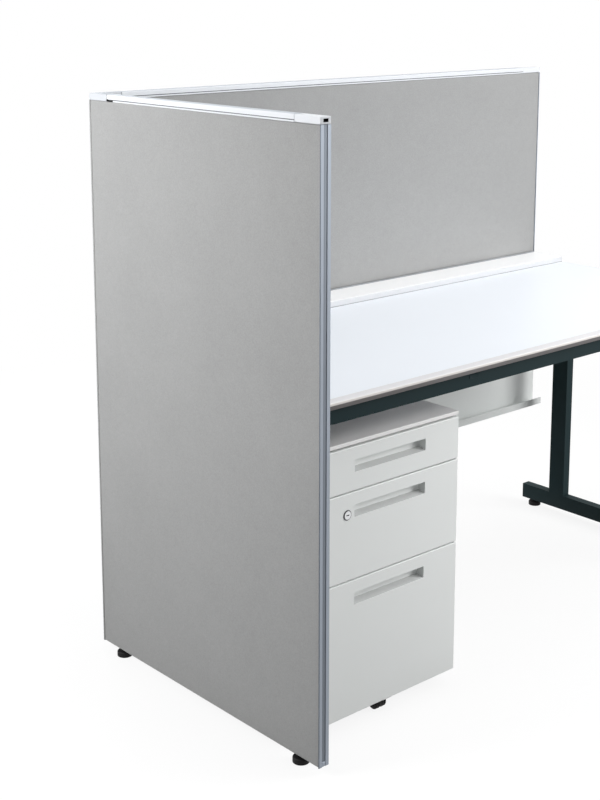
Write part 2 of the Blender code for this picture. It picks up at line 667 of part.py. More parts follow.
def build_wiring(desk):
    wall_face = SCREEN_FACE - FIT - DUCT_WALL
    duct_front = DESK_REAR + FIT
    lug_top = HINGE_Z - LUG_DROP
    channel = [
        (duct_front, DUCT_BOTTOM), (SCREEN_FACE - FIT, DUCT_BOTTOM), (SCREEN_FACE - FIT, lug_top),
        (wall_face, lug_top), (wall_face, DUCT_BOTTOM + DUCT_WALL), (duct_front + DUCT_WALL, DUCT_BOTTOM + DUCT_WALL),
        (duct_front + DUCT_WALL, DESK_HEIGHT), (duct_front, DESK_HEIGHT),
    ]
    duct = extrusion("YZ", SPAN_LEFT, RIGHT, channel)
    for x in (SPAN_LEFT + KNUCKLE_GAP, RIGHT - KNUCKLE_GAP - DUCT_WALL):
        end_wall = box(
            (x, duct_front + DUCT_WALL / 2, DUCT_BOTTOM + DUCT_WALL / 2),
            (x + DUCT_WALL, SCREEN_FACE - FIT - DUCT_WALL / 2, DESK_HEIGHT - DUCT_WALL),
        )
        join(duct, end_wall)
    for side in (-1, 1):
        middle = (SPAN_LEFT + RIGHT) / 2 + side * SLOT_SPACING / 2
        slot_front = duct_front + SLOT_MARGIN
        slot = box(
            (middle - SLOT_LENGTH / 2, slot_front, DUCT_BOTTOM - OVERSHOOT),
            (middle + SLOT_LENGTH / 2, slot_front + SLOT_WIDTH, DUCT_BOTTOM + DUCT_WALL + OVERSHOOT),
        )
        cut(duct, slot)

    lug_angle = math.degrees(math.asin(LUG_DROP / KNUCKLE_RADIUS))
    lug = [
        *arc(HINGE_Y, HINGE_Z, KNUCKLE_RADIUS, -90.0, -360.0 - lug_angle, SMALL_SIDES),
        (wall_face + DUCT_WALL / 2, lug_top), (wall_face + DUCT_WALL / 2, HINGE_Z - KNUCKLE_RADIUS),
    ]
    lip_front = DESK_REAR + FIT
    lip_bottom = DESK_HEIGHT + FIT
    flap_section = [
        (lip_front, lip_bottom), (lip_front + FLAP_SHEET, lip_bottom), (lip_front + FLAP_SHEET, FLAP_UNDERSIDE),
        (HINGE_Y, FLAP_UNDERSIDE), (HINGE_Y, SCREEN_BOTTOM),
        *arc(lip_front + FLAP_ROUND, SCREEN_BOTTOM - FLAP_ROUND, FLAP_ROUND, 90.0, 180.0),
    ]
    web_top = FLAP_UNDERSIDE + FLAP_SHEET / 2
    eye = [
        *arc(HINGE_Y, HINGE_Z, KNUCKLE_RADIUS, 180.0, 450.0, SMALL_SIDES),
        (HINGE_Y - FIT, web_top), (HINGE_Y - KNUCKLE_RADIUS, web_top),
    ]
    axis = carrier("wiring_flap_axis", (0.0, HINGE_Y, HINGE_Z), desk)
    flap = extrusion("YZ", SPAN_LEFT + FLAP_END_GAP, RIGHT - FLAP_END_GAP, flap_section)
    pitch = KNUCKLE_LENGTH + KNUCKLE_GAP
    starts = hinge_starts()
    for start in starts:
        for index in (0, 2):
            join(duct, extrusion("YZ", start + index * pitch, start + index * pitch + KNUCKLE_LENGTH, lug))
        join(flap, extrusion("YZ", start + pitch, start + pitch + KNUCKLE_LENGTH, eye))

    rod_start = (starts[0], HINGE_Y, HINGE_Z)
    rod_end = (starts[-1] + hinge_length(), HINGE_Y, HINGE_Z)
    bore_start = (starts[0] - OVERSHOOT, HINGE_Y, HINGE_Z)
    bore_end = (starts[-1] + hinge_length() + OVERSHOOT, HINGE_Y, HINGE_Z)
    cut(duct, cylinder(ROD_RADIUS + FIT, bore_start, bore_end, SMALL_SIDES))
    cut(flap, cylinder(ROD_RADIUS + FIT, bore_start, bore_end, SMALL_SIDES))
    finish(duct, "wiring_duct", "grey_steel", desk)
    finish(flap, "wiring_flap", "white_steel", axis)
    finish(cylinder(ROD_RADIUS, rod_start, rod_end, SMALL_SIDES), "flap_hinge_rod", "zinc_steel", desk)


def build_modesty_panel(desk):
    sheet = MODESTY_SHEET
    top = DUCT_BOTTOM - FIT
    tray_front = MODESTY_FACE - CABLE_TRAY_DEPTH
    tray_floor = CABLE_TRAY_HEIGHT + sheet
    section = [
        (tray_front, CABLE_TRAY_HEIGHT), (MODESTY_FACE + sheet, CABLE_TRAY_HEIGHT), (MODESTY_FACE + sheet, top),
        (MODESTY_FACE - MODESTY_FLANGE, top), (MODESTY_FACE - MODESTY_FLANGE, top - sheet),
        (MODESTY_FACE, top - sheet), (MODESTY_FACE, tray_floor), (tray_front + sheet, tray_floor),
        (tray_front + sheet, CABLE_TRAY_HEIGHT + CABLE_TRAY_LIP), (tray_front, CABLE_TRAY_HEIGHT + CABLE_TRAY_LIP),
    ]
    finish(extrusion("YZ", SPAN_LEFT, RIGHT, section), "modesty_panel", "grey_steel", desk)


def build_pedestal_case(pedestal):
    sheet = PED_SHEET
    board = box((PED_LEFT, PED_FRONT, PED_TOP - PED_BOARD), (PED_RIGHT, PED_REAR, PED_TOP))
    finish(soften(board, BOARD_ROUND), "pedestal_top_board", "pedestal_board", pedestal)

    wrap = [
        (PED_LEFT, CASE_FRONT), (PED_LEFT + sheet, CASE_FRONT), (PED_LEFT + sheet, PED_REAR - sheet),
        (PED_RIGHT - sheet, PED_REAR - sheet), (PED_RIGHT - sheet, CASE_FRONT), (PED_RIGHT, CASE_FRONT),
        (PED_RIGHT, PED_REAR), (PED_LEFT, PED_REAR),
    ]
    case = extrusion("XY", SKIRT_GAP, CASE_TOP, wrap)
    keeper = box(
        (PED_LEFT - OVERSHOOT, BOLT_FRONT - KEEPER_GAP, BOLT_BOTTOM - KEEPER_GAP),
        (PED_LEFT + sheet + OVERSHOOT, BOLT_REAR + KEEPER_GAP, BOLT_TOP + KEEPER_GAP),
    )
    finish(cut(case, keeper), "pedestal_case", "white_steel", pedestal)

    base = box(
        (PED_LEFT + sheet + FIT, CASE_FRONT, CASTER_HEIGHT), (PED_RIGHT - sheet - FIT, PED_REAR - sheet - FIT, BASE_TOP)
    )
    for x, y in caster_places().values():
        low = (x, y, CASTER_HEIGHT - OVERSHOOT)
        cut(base, cylinder(SWIVEL_STEM_RADIUS + FIT, low, (x, y, BASE_TOP + OVERSHOOT), SMALL_SIDES))
    finish(base, "pedestal_base_plate", "zinc_steel", pedestal)


def drawer_front(name, bottom, top, drawer):
    sheet = FRONT_SHEET
    back = PED_FRONT + FRONT_DEPTH
    pull_top = top - PULL_DROP
    pull_bottom = pull_top - PULL_HEIGHT
    pull_left = PED_MIDDLE - PULL_WIDTH / 2
    pull_right = PED_MIDDLE + PULL_WIDTH / 2
    pull_back = PED_FRONT + PULL_DEPTH
    front = soften(box((PED_LEFT, PED_FRONT, bottom), (PED_RIGHT, back, top)), FRONT_ROUND)
    cut(front, box(
        (PED_LEFT + sheet, PED_FRONT + sheet, bottom + sheet), (PED_RIGHT - sheet, back + OVERSHOOT, top - sheet)
    ))
    join(front, box(
        (pull_left - sheet, PED_FRONT + sheet / 2, pull_bottom - sheet),
        (pull_right + sheet, pull_back + sheet, pull_top + sheet),
    ))
    recess = [
        (PED_FRONT - OVERSHOOT, pull_bottom), (PED_FRONT, pull_bottom), (pull_back, pull_bottom + PULL_RISE),
        (pull_back, pull_top), (PED_FRONT - OVERSHOOT, pull_top),
    ]
    cut(front, extrusion("YZ", pull_left, pull_right, recess))
    return finish(front, f"{name}_front", "white_steel", drawer)


# Channel section of a runner on the left (side 1) or the right (side -1), open towards the tray
def runner_section(web, side, reach, bottom, top):
    sheet = RUNNER_SHEET
    return [
        (web, bottom), (web + side * reach, bottom), (web + side * reach, bottom + sheet),
        (web + side * sheet, bottom + sheet), (web + side * sheet, top - sheet), (web + side * reach, top - sheet),
        (web + side * reach, top), (web, top),
    ]


def drawer_tray(name, tray_bottom, tray_top, slide_height, pedestal, drawer, middles=None):
    wall = TRAY_WALL
    tray = box((TRAY_LEFT, TRAY_FRONT, tray_bottom), (TRAY_RIGHT, TRAY_REAR, tray_top))
    cut(tray, box(
        (TRAY_LEFT + wall, TRAY_FRONT + wall, tray_bottom + wall),
        (TRAY_RIGHT - wall, TRAY_REAR - wall, tray_top + OVERSHOOT),
    ))
    step = RUNNER_SHEET + FIT
    for label, side, case_side, tray_side in (
        ("left", 1, PED_LEFT + PED_SHEET, TRAY_LEFT), ("right", -1, PED_RIGHT - PED_SHEET, TRAY_RIGHT)
    ):
        web = case_side + side * FIT
        reach = RUNNER_REACH - FIT
        bottom = tray_bottom + SLIDE_LIFT
        top = bottom + slide_height
        runner_front = CASE_FRONT + SLIDE_SETBACK
        runner = extrusion("XZ", runner_front, TRAY_REAR, runner_section(web, side, reach, bottom, top))
        finish(runner, f"{name}_{label}_runner", "zinc_steel", pedestal)
        if middles:
            web += side * step
            reach -= step
            bottom += step
            top -= step
            section = runner_section(web, side, reach, bottom, top)
            finish(extrusion("XZ", runner_front, TRAY_REAR, section), f"{name}_{label}_middle", "zinc_steel", middles)
        ends = sorted((web + side * step, tray_side + side * wall / 2))
        join(tray, box(
            (ends[0], TRAY_FRONT + RAIL_LEAD, bottom + step), (ends[1], TRAY_REAR - RAIL_LEAD, top - step)
        ))
        ends = sorted((tray_side + side * wall / 2, tray_side + side * TRAY_RIM))
        join(tray, box(
            (ends[0], TRAY_FRONT + wall / 2, tray_top - wall), (ends[1], TRAY_REAR - wall / 2, tray_top - FIT)
        ))
    return finish(tray, f"{name}_tray", "white_steel", drawer)


def build_lock(front, tray, drawer):
    hole_start = (LOCK_X, PED_FRONT - OVERSHOOT, LOCK_Z)
    hole_end = (LOCK_X, CAM_FRONT + OVERSHOOT, LOCK_Z)
    cut(front, cylinder(BARREL_RADIUS + FIT, hole_start, hole_end))
    cut(tray, cylinder(BARREL_RADIUS + FIT, hole_start, hole_end))
    cut(tray, box(
        (TRAY_LEFT - OVERSHOOT, BOLT_FRONT - FIT, BOLT_BOTTOM - FIT),
        (TRAY_LEFT + TRAY_WALL + OVERSHOOT, BOLT_REAR + FIT, BOLT_TOP + FIT),
    ))

    head_front = PED_FRONT - FIT - LOCK_HEAD_PROUD
    head_back = PED_FRONT - FIT
    cam_back = CAM_FRONT + CAM_THICKNESS
    pin_x = LOCK_X + CAM_ARM * math.sin(CAM_SWING)
    pin_z = LOCK_Z - CAM_ARM * math.cos(CAM_SWING)
    axis = carrier("lock_axis", (LOCK_X, head_front, LOCK_Z), drawer)
    lock = cylinder(LOCK_HEAD_RADIUS, (LOCK_X, head_front, LOCK_Z), (LOCK_X, head_back, LOCK_Z))
    cam_middle = CAM_FRONT + CAM_THICKNESS / 2
    join(lock, cylinder(BARREL_RADIUS, (LOCK_X, head_back - FIT, LOCK_Z), (LOCK_X, cam_middle, LOCK_Z)))
    cam_radius = CAM_ARM + PIN_RADIUS + CAM_RIM
    join(lock, cylinder(cam_radius, (LOCK_X, CAM_FRONT, LOCK_Z), (LOCK_X, cam_back, LOCK_Z)))
    join(lock, cylinder(PIN_RADIUS, (pin_x, cam_middle, pin_z), (pin_x, BOLT_REAR, pin_z), SMALL_SIDES))
    cut(lock, box(
        (LOCK_X - KEY_SLOT_LENGTH / 2, head_front - OVERSHOOT, LOCK_Z - KEY_SLOT_WIDTH / 2),
        (LOCK_X + KEY_SLOT_LENGTH / 2, head_front + KEY_SLOT_DEPTH, LOCK_Z + KEY_SLOT_WIDTH / 2),
    ))
    finish(lock, "lock_cylinder", "lock_chrome", axis)

    slot_half = PIN_RADIUS + PIN_PLAY
    bolt = box((TRAY_LEFT, BOLT_FRONT, BOLT_BOTTOM), (pin_x + slot_half + BOLT_MARGIN, BOLT_REAR, BOLT_TOP))
    cut(bolt, box(
        (pin_x - slot_half, BOLT_FRONT - OVERSHOOT, SLOT_BOTTOM), (pin_x + slot_half, BOLT_REAR + OVERSHOOT, SLOT_TOP)
    ))
    slide = carrier("lock_bolt_slide", (TRAY_LEFT, BOLT_FRONT, BOLT_BOTTOM), drawer)
    finish(bolt, "lock_bolt", "zinc_steel", slide)


def caster_places():
    inset = PED_SHEET + CASTER_INSET
    rows = {"front": CASE_FRONT + CASTER_INSET, "rear": PED_REAR - inset}
    columns = {"left": PED_LEFT + inset, "right": PED_RIGHT - inset}
    return {f"{row}_{column}": (x, y) for row, y in rows.items() for column, x in columns.items()}


def wheel(radius, width, centre):
    half = width / 2
    bore = AXLE_RADIUS + FIT
    profile = [
        (bore, half), (radius - WHEEL_ROUND, half), (radius, half - WHEEL_ROUND), (radius, WHEEL_ROUND - half),
        (radius - WHEEL_ROUND, -half), (bore, -half),
    ]
    return turned(profile, True, centre, (0.0, math.pi / 2, 0.0), ROUND_SIDES)


def build_casters(pedestal):
    top = CASTER_HEIGHT - FIT
    plate_middle = top - SWIVEL_PLATE / 2
    cheek_gap = WHEEL_WIDTH / 2 + WHEEL_GAP
    for place, (x, y) in caster_places().items():
        swivel = carrier(f"caster_{place}_swivel", (x, y, CASTER_HEIGHT), pedestal)
        axle_y = y + CASTER_TRAIL
        cheek = [
            (y - FORK_REACH, plate_middle),
            *arc(axle_y, WHEEL_RADIUS, AXLE_BOSS, 180.0, 360.0, 2 * ARC_STEPS),
            (y + FORK_REACH, plate_middle),
        ]
        fork = cylinder(SWIVEL_RADIUS, (x, y, top - SWIVEL_PLATE), (x, y, top))
        for side in (-1, 1):
            ends = sorted((x + side * cheek_gap, x + side * (cheek_gap + FORK_SHEET)))
            join(fork, extrusion("YZ", ends[0], ends[1], cheek))
        axle_half = cheek_gap + FORK_SHEET / 2
        axle = ((x - axle_half, axle_y, WHEEL_RADIUS), (x + axle_half, axle_y, WHEEL_RADIUS))
        join(fork, cylinder(AXLE_RADIUS, axle[0], axle[1], SMALL_SIDES))
        join(fork, cylinder(SWIVEL_STEM_RADIUS, (x, y, plate_middle), (x, y, BASE_TOP), SMALL_SIDES))
        finish(fork, f"caster_{place}_fork", "black_plastic", swivel)
        hub = carrier(f"caster_{place}_axle", (x, axle_y, WHEEL_RADIUS), swivel)
        tread = wheel(WHEEL_RADIUS, WHEEL_WIDTH, (x, axle_y, WHEEL_RADIUS))
        finish(tread, f"caster_{place}_wheel", "black_plastic", hub)


# Carrier under the file drawer front, with its own small wheel just clear of the floor
def build_anti_tip_wheel(front, drawer):
    axle_y = PED_FRONT + TIP_WHEEL_SETBACK
    axle_z = TIP_WHEEL_CLEAR + TIP_WHEEL_RADIUS
    cheek_gap = TIP_WHEEL_WIDTH / 2 + WHEEL_GAP
    plate_half = cheek_gap + FORK_SHEET
    plate_top = SKIRT_GAP + FRONT_SHEET / 2
    join(front, box(
        (PED_MIDDLE - plate_half, PED_FRONT + 2 * FRONT_SHEET, SKIRT_GAP - TIP_PLATE),
        (PED_MIDDLE + plate_half, axle_y + TIP_WHEEL_RADIUS, plate_top),
    ))
    cheek = [
        (axle_y - FORK_REACH, SKIRT_GAP - TIP_PLATE / 2),
        *arc(axle_y, axle_z, AXLE_BOSS, 180.0, 360.0, 2 * ARC_STEPS),
        (axle_y + FORK_REACH, SKIRT_GAP - TIP_PLATE / 2),
    ]
    for side in (-1, 1):
        inner = PED_MIDDLE + side * cheek_gap
        ends = sorted((inner, inner + side * (FORK_SHEET - FIT)))
        join(front, extrusion("YZ", ends[0], ends[1], cheek))
    axle_half = cheek_gap + FORK_SHEET / 2
    axle = ((PED_MIDDLE - axle_half, axle_y, axle_z), (PED_MIDDLE + axle_half, axle_y, axle_z))
    join(front, cylinder(AXLE_RADIUS, axle[0], axle[1], SMALL_SIDES))
    hub = carrier("anti_tip_axle", (PED_MIDDLE, axle_y, axle_z), drawer)
    tread = wheel(TIP_WHEEL_RADIUS, TIP_WHEEL_WIDTH, (PED_MIDDLE, axle_y, axle_z))
    finish(tread, "anti_tip_wheel", "black_plastic", hub)


def build_pedestal(desk):
    pedestal = carrier("pedestal", (PED_MIDDLE, PED_FRONT, 0.0), desk)
    build_pedestal_case(pedestal)
    build_casters(pedestal)

    pen = carrier("pen_drawer", (PED_MIDDLE, PED_FRONT, PEN_BOTTOM), pedestal)
    drawer_front("pen_drawer", PEN_BOTTOM, PEN_TOP, pen)
    drawer_tray("pen_drawer", PEN_BOTTOM + TRAY_LIFT, PEN_TOP - TRAY_DROP, PLAIN_SLIDE_HEIGHT, pedestal, pen)

    letter = carrier("box_drawer", (PED_MIDDLE, PED_FRONT, BOX_BOTTOM), pedestal)
    front = drawer_front("box_drawer", BOX_BOTTOM, BOX_TOP, letter)
    tray_bottom = BOX_BOTTOM + TRAY_LIFT
    tray = drawer_tray("box_drawer", tray_bottom, BOX_TOP - TRAY_DROP, PLAIN_SLIDE_HEIGHT, pedestal, letter)
    build_lock(front, tray, letter)

    file = carrier("file_drawer", (PED_MIDDLE, PED_FRONT, SKIRT_GAP), pedestal)
    middles = carrier("file_drawer_middles", (PED_MIDDLE, PED_FRONT, BASE_TOP), pedestal)
    front = drawer_front("file_drawer", SKIRT_GAP, FILE_TOP, file)
    tray_bottom = BASE_TOP + TRAY_LIFT
    drawer_tray("file_drawer", tray_bottom, FILE_TOP - TRAY_DROP, FILE_SLIDE_HEIGHT, pedestal, file, middles)
    build_anti_tip_wheel(front, file)


clear_scene()
parts = new_collection("office_desk")
cutters = new_collection("cutters")
materials = {name: new_material(name) for name in FINISHES}
desk = carrier("office_desk", (0.0, 0.0, 0.0))
build_end_panel(desk)
build_screen(desk)
build_desktop(desk)
build_frame(desk)
build_leg(desk)
build_feet(desk)
build_wiring(desk)
build_modesty_panel(desk)
build_pedestal(desk)
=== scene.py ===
import json
import math

import bpy
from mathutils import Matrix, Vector


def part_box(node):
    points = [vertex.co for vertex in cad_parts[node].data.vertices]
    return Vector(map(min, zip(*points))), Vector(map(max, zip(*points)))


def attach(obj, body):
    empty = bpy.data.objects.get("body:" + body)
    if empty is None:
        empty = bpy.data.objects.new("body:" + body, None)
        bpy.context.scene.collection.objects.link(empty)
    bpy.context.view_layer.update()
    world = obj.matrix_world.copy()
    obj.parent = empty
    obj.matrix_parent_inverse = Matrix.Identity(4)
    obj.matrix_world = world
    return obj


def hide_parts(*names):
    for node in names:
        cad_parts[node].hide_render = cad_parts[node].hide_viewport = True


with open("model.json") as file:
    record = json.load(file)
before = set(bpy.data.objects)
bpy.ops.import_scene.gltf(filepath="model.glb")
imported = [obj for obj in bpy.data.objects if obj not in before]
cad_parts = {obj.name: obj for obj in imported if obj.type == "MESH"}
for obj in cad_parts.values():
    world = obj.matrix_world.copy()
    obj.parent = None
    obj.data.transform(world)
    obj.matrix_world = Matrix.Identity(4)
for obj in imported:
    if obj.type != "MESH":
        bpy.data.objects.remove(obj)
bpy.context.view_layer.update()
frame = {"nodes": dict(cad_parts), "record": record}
nodes = frame["nodes"]
print("desk frame loaded,", len(nodes), "pieces")

xAxis, yAxis, zAxis = Vector((1, 0, 0)), Vector((0, 1, 0)), Vector((0, 0, 1))


# node helpers: a socket among the values is linked, anything else is set
def put(tree, kind, values=None, **settings):
    node = tree.nodes.new("ShaderNode" + kind)
    for key, value in settings.items():
        setattr(node, key, value)
    for key, value in (values or {}).items():
        if isinstance(value, bpy.types.NodeSocket):
            tree.links.new(value, node.inputs[key])
        else:
            node.inputs[key].default_value = value
    return node


def sums(tree, operation, first, second=None):
    values = {0: first} if second is None else {0: first, 1: second}
    return put(tree, "Math", values, operation=operation).outputs[0]


def vectors(tree, operation, values):
    return put(tree, "VectorMath", values, operation=operation).outputs[0]


def noise(tree, values):
    return put(tree, "TexNoise", values).outputs


def heightOf(tree, vector):
    return put(tree, "SeparateXYZ", {0: vector}).outputs["Z"]


def remap(tree, value, low, high, toLow=0.0, toHigh=1.0):
    return put(tree, "MapRange", {"Value": value, 1: low, 2: high, 3: toLow, 4: toHigh}).outputs[0]


def mixColour(tree, share, first, second):
    return put(tree, "Mix", {0: share, 6: first, 7: second}, data_type="RGBA").outputs[2]


# twice the swing of a noise about its middle, as wide as spread says
def swing(tree, value, spread):
    return sums(tree, "MULTIPLY", sums(tree, "MULTIPLY", sums(tree, "SUBTRACT", value, 0.5), spread), 2.0)


def newEffect(name, takes, gives):
    tree = bpy.data.node_groups.new(name, "ShaderNodeTree")
    for label, kind, value in [("Place", "Vector", None)] + takes:
        socket = tree.interface.new_socket(name=label, in_out="INPUT", socket_type="NodeSocket" + kind)
        if value is not None:
            socket.default_value = value
    for label, kind in gives:
        tree.interface.new_socket(name=label, in_out="OUTPUT", socket_type="NodeSocket" + kind)
    return tree, tree.nodes.new("NodeGroupInput").outputs, tree.nodes.new("NodeGroupOutput").inputs


# over and under yarns; X + Y runs along the cloth on the end panel and on the screen alike
def makeYarnEffect():
    tree, takes, gives = newEffect("plainWeave", [("Yarn pitch", "Float", 0.0016), ("Slub", "Float", 0.0004)],
                                   [("Height", "Float"), ("Fleck", "Float")])
    wander = noise(tree, {"Vector": takes["Place"], "Scale": 90.0, "Detail": 2.0})
    centred = vectors(tree, "SUBTRACT", {0: wander["Color"], 1: (0.5, 0.5, 0.5)})
    pulled = vectors(tree, "SCALE", {0: centred, "Scale": takes["Slub"]})
    moved = vectors(tree, "ADD", {0: takes["Place"], 1: pulled})
    split = put(tree, "SeparateXYZ", {0: moved}).outputs
    turnsPerMetre = sums(tree, "DIVIDE", math.pi, takes["Yarn pitch"])
    run = sums(tree, "ADD", split["X"], split["Y"])
    along = sums(tree, "SINE", sums(tree, "MULTIPLY", run, turnsPerMetre))
    upright = sums(tree, "SINE", sums(tree, "MULTIPLY", split["Z"], turnsPerMetre))
    over = sums(tree, "GREATER_THAN", sums(tree, "MULTIPLY", along, upright), 0.0)
    weave = put(tree, "Mix", {0: over, 2: sums(tree, "ABSOLUTE", along), 3: sums(tree, "ABSOLUTE", upright)})
    fleck = noise(tree, {"Vector": moved, "Scale": 420.0, "Detail": 3.0, "Roughness": 0.7})
    tree.links.new(weave.outputs[0], gives["Height"])
    tree.links.new(fleck["Fac"], gives["Fleck"])
    return tree


# slow change of shade over a surface
def makeMottleEffect():
    tree, takes, gives = newEffect(
        "softMottle", [("Colour", "Color", None), ("Patches per metre", "Float", 12.0),
                       ("Strength", "Float", 0.05)], [("Colour", "Color"), ("Mask", "Float")])
    cloud = noise(tree, {"Vector": takes["Place"], "Scale": takes["Patches per metre"], "Detail": 4.0,
                         "Roughness": 0.55})
    shade = sums(tree, "ADD", swing(tree, cloud["Fac"], takes["Strength"]), 1.0)
    tree.links.new(vectors(tree, "SCALE", {0: takes["Colour"], "Scale": shade}), gives["Colour"])
    tree.links.new(cloud["Fac"], gives["Mask"])
    return tree


# baked powder paint: fine pebbles over a slow swell
def makePowderEffect():
    tree, takes, gives = newEffect(
        "powderPaint", [("Pebbles per metre", "Float", 900.0), ("Roughness", "Float", 0.4),
                        ("Spread", "Float", 0.08)], [("Height", "Float"), ("Roughness", "Float")])
    pebbleShare = 0.35
    pebble = noise(tree, {"Vector": takes["Place"], "Scale": takes["Pebbles per metre"], "Detail": 2.0})
    swell = noise(tree, {"Vector": takes["Place"], "Scale": 45.0, "Detail": 1.0})
    rubbed = noise(tree, {"Vector": takes["Place"], "Scale": 9.0, "Detail": 5.0})
    height = sums(tree, "ADD", sums(tree, "MULTIPLY", pebble["Fac"], pebbleShare), swell["Fac"])
    tree.links.new(height, gives["Height"])
    roughness = sums(tree, "ADD", takes["Roughness"], swing(tree, rubbed["Fac"], takes["Spread"]))
    tree.links.new(roughness, gives["Roughness"])
    return tree


# drawn or brushed metal: noise stretched along one way
def makeDrawnEffect():
    tree, takes, gives = newEffect(
        "drawnLines", [("Lines per metre", "Vector", (900.0, 900.0, 8.0)), ("Roughness", "Float", 0.35),
                       ("Spread", "Float", 0.12)], [("Height", "Float"), ("Roughness", "Float")])
    stretched = vectors(tree, "MULTIPLY", {0: takes["Place"], 1: takes["Lines per metre"]})
    lines = noise(tree, {"Vector": stretched, "Scale": 1.0, "Detail": 3.0, "Roughness": 0.6})
    tree.links.new(lines["Fac"], gives["Height"])
    roughness = sums(tree, "ADD", takes["Roughness"], swing(tree, lines["Fac"], takes["Spread"]))
    tree.links.new(roughness, gives["Roughness"])
    return tree


# dust that settles on what stands near the floor
def makeDustEffect():
    tree, takes, gives = newEffect(
        "floorDust", [("Colour", "Color", None), ("Dust", "Color", (0.45, 0.43, 0.40, 1)),
                      ("Reach", "Float", 0.10), ("Amount", "Float", 0.2)],
        [("Colour", "Color"), ("Mask", "Float")])
    climb = sums(tree, "DIVIDE", heightOf(tree, takes["Place"]), takes["Reach"])
    low = sums(tree, "SUBTRACT", 1.0, sums(tree, "MINIMUM", climb, 1.0))
    grain = noise(tree, {"Vector": takes["Place"], "Scale": 160.0, "Detail": 5.0, "Roughness": 0.7})
    mask = sums(tree, "MULTIPLY", sums(tree, "MULTIPLY", low, grain["Fac"]), takes["Amount"])
    tree.links.new(mixColour(tree, mask, takes["Colour"], takes["Dust"]), gives["Colour"])
    tree.links.new(mask, gives["Mask"])
    return tree


plainWeave = makeYarnEffect()
softMottle = makeMottleEffect()
powderPaint = makePowderEffect()
drawnLines = makeDrawnEffect()
floorDust = makeDustEffect()
print("finish effects ready")


def newLook(name):
    look = bpy.data.materials.new(name)
    look.use_nodes = True
    tree = look.node_tree
    return look, tree, tree.nodes["Principled BSDF"], put(tree, "TexCoord").outputs["Object"]


# one effect laid on the piece's own coordinates
def lay(tree, effect, place, values):
    return put(tree, "Group", {"Place": place, **values}, node_tree=effect).outputs


def mottle(tree, place, colour, patches, strength):
    values = {"Colour": colour, "Patches per metre": patches, "Strength": strength}
    return lay(tree, softMottle, place, values)["Colour"]


# colour, roughness and relief reach the shader
def connect(tree, shader, colour, roughness, height, depth):
    tree.links.new(colour, shader.inputs["Base Color"])
    tree.links.new(roughness, shader.inputs["Roughness"])
    bump = put(tree, "Bump", {"Height": height, "Strength": 1.0, "Distance": depth})
    tree.links.new(bump.outputs["Normal"], shader.inputs["Normal"])


# how far a face looks up or down, from 0 to 1
def lyingFlat(tree):
    return sums(tree, "ABSOLUTE", heightOf(tree, put(tree, "NewGeometry").outputs["Normal"]))


greyCloth = {"colour": (0.362, 0.364, 0.363), "fleckFrom": 0.3, "fleckTo": 0.7, "fleckDark": 0.90,
             "fleckLight": 1.09, "yarnPitch": 0.0016, "yarnDepth": 0.00022, "mottle": 0.05,
             "widePatches": 7.0, "closePatches": 60.0, "dust": (0.33, 0.32, 0.30, 1), "dustReach": 0.12,
             "dustAmount": 0.12, "valley": 0.95, "crest": 0.82, "sheen": 0.12, "sheenRoughness": 0.5,
             "gloss": 0.2}


def makeGreyCloth():
    look, tree, shader, place = newLook("greyCloth")
    yarn = lay(tree, plainWeave, place, {"Yarn pitch": greyCloth["yarnPitch"]})
    fleck = remap(tree, yarn["Fleck"], greyCloth["fleckFrom"], greyCloth["fleckTo"], greyCloth["fleckDark"],
                  greyCloth["fleckLight"])
    dyed = vectors(tree, "SCALE", {0: greyCloth["colour"], "Scale": fleck})
    wide = mottle(tree, place, dyed, greyCloth["widePatches"], greyCloth["mottle"])
    close = mottle(tree, place, wide, greyCloth["closePatches"], greyCloth["mottle"])
    dusty = lay(tree, floorDust, place, {"Colour": close, "Reach": greyCloth["dustReach"],
                                         "Amount": greyCloth["dustAmount"], "Dust": greyCloth["dust"]})
    worn = remap(tree, yarn["Height"], 0.0, 1.0, greyCloth["valley"], greyCloth["crest"])
    connect(tree, shader, dusty["Colour"], worn, yarn["Height"], greyCloth["yarnDepth"])
    shader.inputs["Sheen Weight"].default_value = greyCloth["sheen"]
    shader.inputs["Sheen Roughness"].default_value = greyCloth["sheenRoughness"]
    shader.inputs["Specular IOR Level"].default_value = greyCloth["gloss"]
    return look


